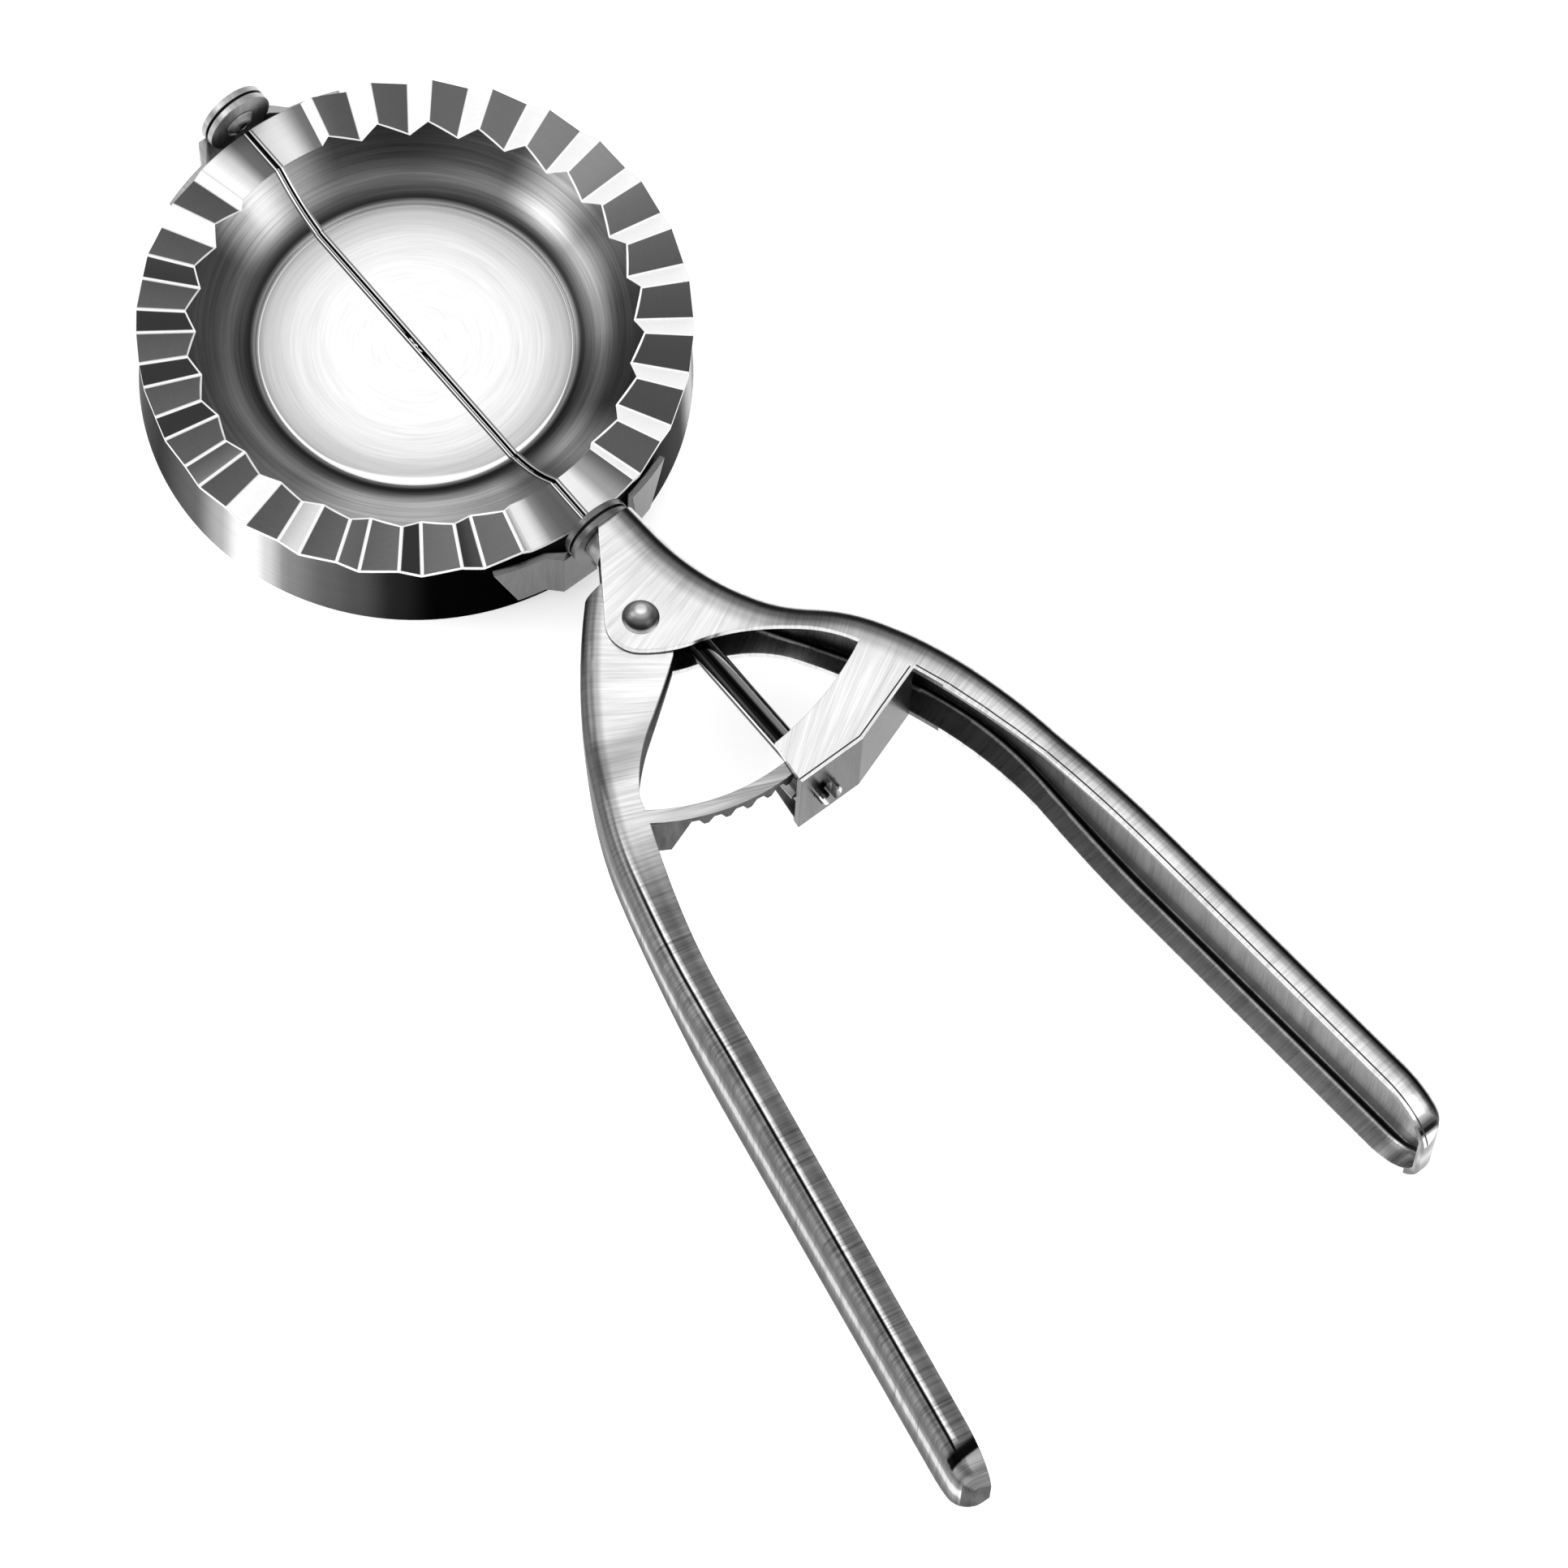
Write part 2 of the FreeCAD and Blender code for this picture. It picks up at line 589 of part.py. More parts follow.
def cutter_skirt(name, half_turned):
    """Half skirt: conical band whose top follows the pleats and whose foot cuts the dough."""
    body = new_body(name + "_band")
    sketch = new_sketch(body, name + "_profile", "XZ_Plane")
    top = rim_plane + half_pleat
    steps = [
        ((skirt_foot_radius - S["skirt_wall"], ZERO), None),
        ((skirt_foot_radius, ZERO), None),
        ((skirt_top_radius, top), None),
        ((skirt_top_radius - S["skirt_wall"], top), None),
    ]
    draw_outline(sketch, steps)
    revolution(body, name + "_turned", sketch, "V_Axis", HALF_TURN)
    clearing = pleated_ring(name + "_clearing", clearing_section)
    under_rim = combine("Cut", name + "_under_rim", body, clearing)
    trimmed = combine("Cut", name, under_rim, split_box(name + "_split"))
    return node(name, trimmed, half_turned)


def ear(name, plate_inside, side, bore, half_turned):
    """Ear on the shaft's line with a strap that hugs the skirt, side +1 or -1 of that line."""
    body = new_body(name)
    plate_outside = plate_inside + S["ear_wall"]
    strap = new_sketch(body, name + "_strap", "XY_Plane", S["strap_low"])
    bend = S["strap_bend_angle"] * side
    end = S["strap_end_angle"] * side
    knee = S["strap_knee"] * side
    turn = (S["strap_end_angle"] - S["strap_bend_angle"]) * side
    steps = [
        ((plate_inside, ZERO), None),
        ((plate_inside, knee), None),
        (polar(ZERO, ZERO, strap_inner_radius, bend), turn),
        (polar(ZERO, ZERO, strap_inner_radius, end), None),
        (polar(ZERO, ZERO, strap_outer_radius, end), -turn),
        (polar(ZERO, ZERO, strap_outer_radius, bend), None),
        ((plate_outside, knee + S["ear_wall"] * side), None),
        ((plate_outside, ZERO), None),
    ]
    draw_outline(strap, steps)
    pad(body, name + "_strap_pad", strap, S["strap_high"] - S["strap_low"])
    tip = strap_outer_radius * sine(S["strap_end_angle"])
    slant = new_sketch(body, name + "_slant", "YZ_Plane", plate_inside - S["slant_reach"])
    corners = [
        (tip * side, S["strap_high"]),
        ((tip - S["strap_taper"] - S["cut_overrun"]) * side, S["strap_low"] - S["cut_overrun"]),
        ((tip + S["cut_overrun"]) * side, S["strap_low"] - S["cut_overrun"]),
        ((tip + S["cut_overrun"]) * side, S["strap_high"]),
    ]
    draw_outline(slant, [(corner, None) for corner in corners])
    pocket(body, name + "_slant_cut", slant, S["slant_reach"], forward=True)
    disc = new_sketch(body, name + "_disc", "YZ_Plane", plate_inside)
    draw_circle(disc, (ZERO, S["axis_height"]), S["ear_radius"])
    pad(body, name + "_disc_pad", disc, S["ear_wall"])
    hole = new_sketch(body, name + "_hole", "YZ_Plane", plate_inside - S["cut_overrun"])
    draw_circle(hole, (ZERO, S["axis_height"]), bore)
    pocket(body, name + "_hole_cut", hole, S["ear_wall"] + S["cut_overrun"] * 2, forward=True)
    return node(name, body, half_turned)


def ring(name, inside, outer_radius, inner_radius, length, half_turned=False):
    """Washer or bush on the shaft's line."""
    body = new_body(name)
    sketch = new_sketch(body, name + "_section", "YZ_Plane", inside)
    centre = (ZERO, S["axis_height"])
    draw_circle(sketch, centre, outer_radius)
    draw_circle(sketch, centre, inner_radius)
    pad(body, name + "_pad", sketch, length)
    return node(name, body, half_turned)


def upright_ring(name, low, outer_radius, inner_radius, length):
    """Washer or sleeve on the pivot rivet."""
    body = new_body(name)
    sketch = new_sketch(body, name + "_section", "XY_Plane", low)
    draw_circle(sketch, rivet, outer_radius)
    draw_circle(sketch, rivet, inner_radius)
    pad(body, name + "_pad", sketch, length)
    return node(name, body)


def nose_rivet():
    """Tubular rivet through the two ears at the far end."""
    body = new_body("nose_rivet")
    sketch = new_sketch(body, "nose_rivet_profile", "XZ_Plane")
    level = S["axis_height"]
    inside = inner_ear_place - S["seat_gap"]
    outside = neck_place + S["seat_gap"]
    shank = level + S["nose_shank_radius"]
    head = level + S["nose_head_radius"]
    bore = level + S["nose_bore_radius"]
    crown = level + S["nose_shank_radius"]
    steps = [
        ((-inside + S["nose_inner_head"], bore), None),
        ((-inside + S["nose_inner_head"], crown), None),
        ((-inside, head), None),
        ((-inside, shank), None),
        ((-outside, shank), None),
        ((-outside, head), None),
        ((-outside - S["nose_outer_head"], crown), None),
        ((-outside - S["nose_outer_head"], level), None),
        ((-outside, level), None),
        ((-outside, bore), None),
    ]
    draw_outline(sketch, steps)
    ends = [(-outside, level), (-inside, level)]
    axis = sketch.addGeometry(Part.LineSegment(flat(ends[0]), flat(ends[1])), True)
    place_point(sketch, axis, 1, ends[0])
    place_point(sketch, axis, 2, ends[1])
    revolution(body, "nose_rivet_turned", sketch, "Axis0")
    return node("nose_rivet", body)


def side_profile(levels, tail_x, corner):
    """Outline of a handle seen from the front: levels are (x, half height) of level runs."""
    level = S["axis_height"]
    upper = []
    for index, (x, half_height) in enumerate(levels):
        upper.append([(x, level + half_height), None])
        if index % 2 and index + 1 < len(levels):
            next_x, next_half = levels[index + 1]
            rise = next_half - half_height
            run = next_x - x
            slope = slope_angle(rise, run) * 2
            middle = ((x + next_x) / 2, level + (half_height + next_half) / 2)
            upper[-1][1] = slope
            upper.append([middle, -slope])
    last_half = levels[-1][1]
    upper.append([(tail_x - corner, level + last_half), as_size(-HALF_TURN / 2)])
    upper.append([(tail_x, level + last_half - corner), None])
    lower = []
    for index in range(len(upper) - 1, -1, -1):
        (x, z), _ = upper[index]
        turn = upper[index - 1][1] if index else None
        lower.append([(x, level * 2 - z), turn])
    return upper + lower


def bar(name, outline, half_height):
    """Handle's outline seen from above, as thick as the handle is wide."""
    body = new_body(name)
    sketch = new_sketch(body, name + "_plan", "XY_Plane", S["axis_height"])
    draw_outline(sketch, outline)
    pad(body, name + "_pad", sketch, (half_height + S["cut_overrun"]) * 2, both_ways=True)
    return body


def side_bar(name, outline, reach):
    """Handle's outline seen from the front, as deep as the handle reaches sideways."""
    body = new_body(name)
    sketch = new_sketch(body, name + "_side", "XZ_Plane")
    draw_outline(sketch, outline)
    pad(body, name + "_pad", sketch, reach * 2, both_ways=True)
    return body


def chain_wire(chain):
    """Open wire through a chain of steps, in the resting plane."""
    edges = []
    for (start, turn), (end, _) in zip(chain[:-1], chain[1:]):
        if turn is None:
            edges.append(Part.makeLine(flat(start), flat(end)))
        else:
            middle = bulge_point(start, end, turn)
            edges.append(Part.Arc(flat(start), flat(middle), flat(end)).toShape())
    return Part.Wire(edges)


def rounded(name, solid, radius, back):
    """Round the edges of a handle's solid that run along its back."""
    doc.recompute()
    wire = chain_wire(back)
    edges = []
    for index, edge in enumerate(solid.Shape.Edges, start=1):
        middle = edge.valueAt((edge.FirstParameter + edge.LastParameter) / 2)
        level_run = abs(middle.z - S["axis_height"].value) > radius.value
        shadow = Part.Vertex(middle.x, middle.y, 0)
        if level_run and edge.Length > radius.value and shadow.distToShape(wire)[0] < ON_LINE:
            edges.append((index, radius.value, radius.value))
    result = doc.addObject("Part::Fillet", name)
    result.Base = solid
    result.Edges = edges
    return result


def fixed_back(inset):
    """Back of the fixed handle from its end to the neck, moved in by a distance."""
    points = [spot(name) for name in ("neck_back", "swell", "shoulder", "grip_back")]
    neck_start = points[0]
    neck = (neck_place, neck_start[1] - S["neck_back_x"] * tangent(S["neck_heading"]))
    headings = [S["neck_heading"]]
    turns = []
    for start, end in zip(points[:-1], points[1:]):
        turns.append(arc_turn(start, end, headings[-1]))
        headings.append(headings[-1] + turns[-1])
    heading = headings[-1]
    run = S["grip_tail_x"] - S["grip_back_x"]
    tail = shifted((along("grip_tail_x"), points[-1][1] + run * tangent(heading)), heading, inset)
    end_x = along("handle_end_x") - inset
    end_rise = tangent(heading) - 1 / cosine(heading)
    end = (end_x, tail[1] + (end_x - tail[0]) * end_rise)
    curve, swell, shoulder, grip = [shifted(point, way, inset) for point, way in zip(points, headings)]
    return [
        (end, heading + HALF_TURN / 2),
        (tail, None),
        (grip, -turns[2]),
        (shoulder, -turns[1]),
        (swell, -turns[0]),
        (curve, None),
        (shifted(neck, headings[0], inset), None),
    ]


def fixed_handle():
    """Fixed handle: one pressed channel with the neck's cheeks and the shaft's U bracket."""
    lobe_start = polar(rivet[0], rivet[1], S["lobe_radius"], S["lobe_start_angle"])
    lobe_end = polar(rivet[0], rivet[1], S["lobe_radius"], S["lobe_end_angle"])
    leg_root = (web_place - S["leg_root_width"], S["leg_root_y"])
    leg_tip = (web_place - S["leg_tip_width"], S["leg_tip_y"])
    web_bend = (web_place, S["web_bend_y"])
    web_root = (web_place - S["web_lean"], S["web_root_y"])
    grip_front = spot("grip_front")
    end_x = along("handle_end_x")
    wall = S["sheet_wall"]
    outline = [
        ((neck_place, S["neck_left"]), None),
        (lobe_start, S["lobe_end_angle"] - S["lobe_start_angle"]),
        (lobe_end, S["cheek_turn"]),
        (spot("throat"), S["throat_turn"]),
        (spot("belly"), S["belly_turn"]),
        (leg_root, S["leg_turn"]),
        (leg_tip, None),
        ((web_place, S["web_low_y"]), None),
        (web_bend, None),
        (web_root, S["shoulder_turn"]),
        (grip_front, None),
        ((end_x, S["grip_front_end_y"]), None),
    ]
    outline += fixed_back(ZERO)
    plan = bar("fixed_outer", outline, S["grip_half_height"])
    levels = [
        (neck_place, S["neck_half_height"]),
        (along("neck_flare_start"), S["neck_half_height"]),
        (along("neck_flare_end"), bracket_half_height),
        (along("grip_flare_start"), bracket_half_height),
        (along("grip_flare_end"), S["grip_half_height"]),
    ]
    tail_x = end_x + S["end_overrun"]
    side = side_bar("fixed_side", side_profile(levels, tail_x, S["grip_corner"]), end_x)
    outer = combine("Common", "fixed_outer_solid", plan, side)

    past = S["cut_overrun"]
    web_slant = slope_angle(web_root[1] - web_bend[1], web_bend[0] - web_root[0])
    web_shift = wall / sine(web_slant)
    bend_rise = wall * tangent((HALF_TURN / 2 - web_slant) / 2)
    hollow_outline = [
        ((neck_place - past, rivet[1] - S["lobe_radius"] - past), None),
        ((web_inside, rivet[1] - S["lobe_radius"] - past), None),
        ((web_inside, web_bend[1] - bend_rise), None),
        ((web_root[0] - web_shift, web_root[1]), None),
        (web_root, None),
        ((web_root[0] + past, web_root[1] - past), None),
        ((grip_front[0], grip_front[1] - past), None),
        ((end_x - wall, S["grip_front_end_y"] - past), None),
    ]
    hollow_outline += fixed_back(wall)[:-1]
    hollow_outline.append(((neck_place - past, fixed_back(wall)[-1][0][1]), None))
    hollow_plan = bar("fixed_inner", hollow_outline, S["grip_half_height"])
    hollow_levels = [(neck_place - past, S["neck_half_height"] - wall)]
    hollow_levels += [(x, half_height - wall) for x, half_height in levels[1:]]
    hollow_profile = side_profile(hollow_levels, tail_x - wall, S["grip_corner"] - wall)
    hollow_side = side_bar("fixed_inner_side", hollow_profile, end_x)
    hollow = combine("Common", "fixed_hollow", hollow_plan, hollow_side)

    outer_rounded = rounded("fixed_rounded", outer, S["edge_round"], fixed_back(ZERO))
    inner_round = S["edge_round"] - wall
    hollow_rounded = rounded("fixed_hollow_rounded", hollow, inner_round, fixed_back(wall))
    shell = combine("Cut", "fixed_shell", outer_rounded, hollow_rounded)
    hole_radius = S["pivot_radius"] + S["fixed_gap"]
    hole_foot = (rivet[0], rivet[1], ZERO)
    rivet_hole = cylinder("fixed_rivet_hole", hole_radius, S["axis_height"] * 2, hole_foot)
    pierced = combine("Cut", "fixed_pierced", shell, rivet_hole)
    shaft_hole = cylinder("fixed_shaft_hole", S["shaft_radius"] + S["running_gap"], wall + past * 2,
                          (web_inside - past, ZERO, S["axis_height"]), line="X")
    drilled = combine("Cut", "fixed_drilled", pierced, shaft_hole)
    hook_hole = cylinder("fixed_hook_hole", S["wire_radius"] * 2, wall + past,
                         (rivet[0] - S["fixed_leg_length"], rivet[1] + S["coil_radius"],
                          S["axis_height"] - S["neck_half_height"] - past / 2))
    return node("fixed_handle", combine("Cut", "fixed_handle", drilled, hook_hole))


def lever_back(inset):
    """Back of the lever from its head to its end, moved in by a distance."""
    heading = S["lever_back_heading"]
    head = shifted(spot("lever_back"), heading, -inset)
    heading = heading + S["lever_turn_bow"]
    bow = shifted(spot("lever_bow"), heading, -inset)
    heading = heading + S["lever_turn_knee"]
    knee = shifted(spot("lever_knee"), heading, -inset)
    heading = heading + S["lever_turn_run"]
    run = shifted(spot("lever_run"), heading, -inset)
    tail = shifted(spot("lever_tail"), heading, -inset)
    end = (along("lever_end_x") - inset, S["lever_end_y"] + inset / 2)
    return [
        (head, S["lever_turn_bow"]),
        (bow, S["lever_turn_knee"]),
        (knee, S["lever_turn_run"]),
        (run, None),
        (tail, S["lever_end_turn"]),
        (end, None),
    ]


def radial_plate(corners, angle):
    """Plate in the rack's band: corners are (along the band, height above the shaft's plane)."""
    inside = (rack_outer_radius - S["sheet_wall"]).value
    points = [Vector(inside, along, S["axis_height"].value + height) for along, height in corners]
    face = Part.Face(Part.makePolygon(points + points[:1]))
    plate = face.extrude(Vector(S["sheet_wall"].value, 0, 0))
    plate.rotate(Vector(), Vector(0, 0, 1), angle)
    plate.translate(Vector(rivet[0].value, rivet[1].value, 0))
    return plate


def rack_plates():
    """Rack teeth that hang from the strip and the stop lug beside them."""
    tooth_angle = FULL_TURN / S["rack_teeth_per_turn"].value
    pitch = math.radians(tooth_angle) * rack_arm.value
    slope = math.tan(math.radians(S["pressure_angle"].value))
    half_tooth = (pitch / 2 - S["tooth_backlash"].value) / 2
    pitch_line = S["pinion_radius"].value
    tip = pitch_line - S["rack_addendum"].value
    root = lever_rack_half_height.value - S["sheet_wall"].value / 2
    half_tip = half_tooth - S["rack_addendum"].value * slope
    half_root = half_tooth + (root - pitch_line) * slope
    tooth = [(-half_tip, tip), (half_tip, tip), (half_root, root), (-half_root, root)]
    mesh_angle = math.degrees(math.asin(-rivet[1].value / rack_band_radius.value))
    plates = []
    for index in range(int(S["rack_teeth"].value)):
        place = S["rack_first_tooth"].value - (index + index + 1) / 2
        plates.append(radial_plate(tooth, mesh_angle + place * tooth_angle))
    shift = -S["lug_foot_shift"].value
    foot = -S["lug_depth"].value
    lug = [
        (-S["lug_top_half_width"].value, root),
        (shift - S["lug_foot_half_width"].value, foot),
        (shift + S["lug_foot_half_width"].value, foot),
        (S["lug_top_half_width"].value, root),
    ]
    plates.append(radial_plate(lug, S["lug_centre_angle"].value))
    teeth = doc.addObject("Part::Feature", "rack_plates")
    teeth.Shape = plates[0].multiFuse(plates[1:])
    return teeth


def lever_handle():
    """Lever: pressed channel with the hooked strip that carries the rack."""
    wall = S["sheet_wall"]
    past = S["cut_overrun"]
    lobe_start, lobe_end = S["lever_lobe_start_angle"], S["lever_lobe_end_angle"]
    lobe_radius = S["lever_lobe_radius"]
    head_x = along("lever_head_x") - past
    end_x, end_y = spot("lever_front_end")
    run_x, run_y = spot("lever_front_run")
    bend_x, bend_y = spot("lever_front_bend")
    back = lever_back(ZERO)
    outline = back + [
        ((end_x, end_y), None),
        ((run_x, run_y), S["lever_front_turn"]),
        ((bend_x, bend_y), S["lever_bend_turn"]),
        (spot("lever_front_root"), None),
        (spot("lever_window"), S["lever_window_turn"]),
        (spot("lever_waist"), S["lever_waist_turn"]),
        (spot("lever_brow"), None),
        (polar(rivet[0], rivet[1], lobe_radius, lobe_start), lobe_end - lobe_start),
        (polar(rivet[0], rivet[1], lobe_radius, lobe_end), None),
        (spot("lever_head"), None),
    ]
    plan = bar("lever_outer", outline, S["lever_grip_half_height"])
    tail_x = end_x + S["end_overrun"]
    levels = [
        (head_x, lever_neck_half_height),
        (along("neck_flare_start"), lever_neck_half_height),
        (along("neck_flare_end"), lever_rack_half_height),
        (along("lever_flare_start"), lever_rack_half_height),
        (along("lever_flare_end"), S["lever_grip_half_height"]),
    ]
    side = side_bar("lever_side", side_profile(levels, tail_x, S["lever_corner"]), end_x)
    outer = combine("Common", "lever_outer_solid", plan, side)

    hollow_back = lever_back(wall)
    out_y = rivet[1] + lobe_radius + past
    hollow_outline = hollow_back + [
        ((end_x - wall, end_y + past), None),
        ((run_x, run_y + past), None),
        ((bend_x, bend_y + past), None),
        ((bend_x, out_y), None),
        ((head_x, out_y), None),
        ((head_x, hollow_back[0][0][1] + past), None),
    ]
    hollow_plan = bar("lever_inner", hollow_outline, S["lever_grip_half_height"])
    hollow_levels = [(head_x - past, lever_neck_half_height - wall)]
    hollow_levels += [(x, half_height - wall) for x, half_height in levels[1:]]
    hollow_profile = side_profile(hollow_levels, tail_x - wall, S["lever_corner"] - wall)
    hollow_side = side_bar("lever_inner_side", hollow_profile, end_x)
    hollow = combine("Common", "lever_hollow", hollow_plan, hollow_side)
    outer_rounded = rounded("lever_rounded", outer, S["edge_round"], lever_back(ZERO))
    inner_round = S["edge_round"] - wall
    hollow_rounded = rounded("lever_hollow_rounded", hollow, inner_round, lever_back(wall))
    shell = combine("Cut", "lever_shell", outer_rounded, hollow_rounded)

    strip = new_body("rack_strip")
    sketch = new_sketch(strip, "rack_strip_plan", "XY_Plane",
                        S["axis_height"] + lever_rack_half_height - wall)
    sweep = S["rack_end_angle"] - S["rack_start_angle"]
    steps = [
        (polar(rivet[0], rivet[1], rack_outer_radius, S["rack_start_angle"]), sweep),
        (polar(rivet[0], rivet[1], rack_outer_radius, S["rack_end_angle"]), None),
        (polar(rivet[0], rivet[1], rack_inner_radius, S["rack_end_angle"]), -sweep),
        (polar(rivet[0], rivet[1], rack_inner_radius, S["rack_start_angle"]), None),
    ]
    draw_outline(sketch, steps)
    pad(strip, "rack_strip_pad", sketch, wall)
    hooked = combine("Fuse", "lever_hooked", shell, strip)
    toothed = combine("Fuse", "lever_toothed", hooked, rack_plates())
    hole = cylinder("lever_rivet_hole", S["pivot_radius"] + S["running_gap"], S["axis_height"] * 2,
                    (rivet[0], rivet[1], ZERO))
    return node("lever_handle", combine("Cut", "lever_handle", toothed, hole))


def pivot_rivet():
    """Rivet that the lever turns on, with a domed head above and a flat head below."""
    body = new_body("pivot_rivet")
    level = S["axis_height"]
    top = level + S["neck_half_height"] + S["seat_gap"]
    low = level - S["neck_half_height"] - S["seat_gap"]
    foot = new_sketch(body, "pivot_foot", "XY_Plane", low - S["pivot_foot_height"])
    draw_circle(foot, rivet, S["pivot_head_radius"])
    pad(body, "pivot_foot_pad", foot, S["pivot_foot_height"])
    shank = new_sketch(body, "pivot_shank", "XY_Plane", low)
    draw_circle(shank, rivet, S["pivot_radius"])
    pad(body, "pivot_shank_pad", shank, top - low)
    sketch = new_sketch(body, "pivot_dome", "XZ_Plane", -rivet[1])
    height = S["pivot_head_height"]
    radius = S["pivot_head_radius"]
    half_turn_angle = slope_angle(height, radius)
    steps = [
        ((rivet[0], top), None),
        ((rivet[0] + radius, top), half_turn_angle * 2),
        ((rivet[0], top + height), None),
    ]
    draw_outline(sketch, steps)
    ends = [(rivet[0], top), (rivet[0], top + height)]
    axis = sketch.addGeometry(Part.LineSegment(flat(ends[0]), flat(ends[1])), True)
    place_point(sketch, axis, 1, ends[0])
    place_point(sketch, axis, 2, ends[1])
    revolution(body, "pivot_dome_turned", sketch, "Axis0")
    return node("pivot_rivet", body)


def drive_shaft():
    """Shaft from the moving ear at the neck to the bracket, with a slotted rear end."""
    front = inner_ear_place - S["shaft_front_reach"]
    tail = web_place + S["shaft_tail"]
    rod = cylinder("shaft_rod", S["shaft_radius"], tail - front,
                   (front, ZERO, S["axis_height"]), line="X")
    doc.recompute()
    ends = []
    for index, edge in enumerate(rod.Shape.Edges, start=1):
        if edge.Closed:
            ends.append((index, S["shaft_chamfer"].value, S["shaft_chamfer"].value))
    chamfered = doc.addObject("Part::Chamfer", "shaft_chamfered")
    chamfered.Base = rod
    chamfered.Edges = ends
    slot = doc.addObject("Part::Box", "shaft_slot_box")
    bind(slot, "Length", S["shaft_slot"] + S["cut_overrun"])
    bind(slot, "Width", S["shaft_slot"])
    bind(slot, "Height", S["shaft_radius"] * 4)
    bind(slot, "Placement.Base.x", tail - S["shaft_slot"])
    bind(slot, "Placement.Base.y", -S["shaft_slot"] / 2)
    bind(slot, "Placement.Base.z", S["axis_height"] - S["shaft_radius"] * 2)
    return node("drive_shaft", combine("Cut", "drive_shaft", chamfered, slot))


def pinion():
    """Small spur wheel under the rack, with involute flanks."""
    body = new_body("pinion")
    pitch_radius = S["pinion_radius"]
    root_radius = pitch_radius - S["rack_addendum"] - S["tooth_root_gap"]
    base_radius = pitch_radius * cosine(S["pressure_angle"])
    length = S["pinion_length"]
    front = web_inside - S["washer_wall"] - S["seat_gap"] * 2 - length
    core = new_sketch(body, "pinion_core", "YZ_Plane")
    draw_circle(core, (ZERO, ZERO), root_radius)
    draw_circle(core, (ZERO, ZERO), S["shaft_radius"] + S["fixed_gap"])
    pad(body, "pinion_core_pad", core, length)

    pitch = pitch_radius * (2 * math.pi) / S["pinion_teeth"]
    half_tooth = (pitch / 2 - S["tooth_backlash"]) / 2
    flank = tangent(S["pressure_angle"]) - S["pressure_angle"] / DEGREES_PER_RADIAN
    base_angle = (half_tooth / pitch_radius + flank) * DEGREES_PER_RADIAN
    tip_share = pinion_tip_radius / base_radius
    tip_roll = square_root(tip_share * tip_share - 1)

    def flank_point(roll):
        """Point of the tooth's flank as (sideways, up from the axis)."""
        angle = roll * DEGREES_PER_RADIAN - base_angle
        up = base_radius * (cosine(angle) + roll * sine(angle))
        sideways = base_radius * (sine(angle) - roll * cosine(angle))
        return sideways, up

    def mirrored(point):
        return -point[0], point[1]

    foot_up = root_radius - S["tooth_root_gap"]
    base_side, base_up = flank_point(ZERO)
    middle = flank_point(tip_roll / 2)
    tip = flank_point(tip_roll)
    left = [(base_side, foot_up), (base_side, base_up), middle, tip]
    corners = left + [mirrored(point) for point in reversed(left)]
    tooth = new_sketch(body, "pinion_tooth", "YZ_Plane")
    draw_outline(tooth, [(corner, None) for corner in corners])
    tooth_pad = pad(body, "pinion_tooth_pad", tooth, length)
    pattern = body.newObject("PartDesign::PolarPattern", "pinion_teeth_round")
    pattern.Originals = [tooth_pad]
    pattern.Axis = (core, ["N_Axis"])
    pattern.Angle = FULL_TURN
    bind(pattern, "Occurrences", S["pinion_teeth"])
    body.Tip = pattern
    bind(body, "Placement.Base.x", front)
    bind(body, "Placement.Base.z", S["axis_height"])
    return node("pinion", body)


def arc_about(start, control, end):
    """Arc from start to end whose end tangents meet at the control point."""
    middle = (start + end) * 0.5
    half_chord = (end - start).Length / 2
    rise = (control - middle).Length
    bulge = half_chord * math.tan(math.atan2(rise, half_chord) / 2)
    apex = middle + (control - middle) * (bulge / rise)
    return Part.Arc(start, apex, end).toShape()


def biarc(start, start_heading, end, end_heading):
    """Two arcs that leave start along its heading and reach end along its own."""
    across = end - start
    both = start_heading + end_heading
    spread = 4 - both.dot(both)
    lean = across.dot(both)
    reach = (math.sqrt(lean * lean + spread * across.dot(across)) - lean) / spread
    first_control = start + start_heading * reach
    last_control = end - end_heading * reach
    joint = (first_control + last_control) * 0.5
    return [arc_about(start, first_control, joint), arc_about(joint, last_control, end)]


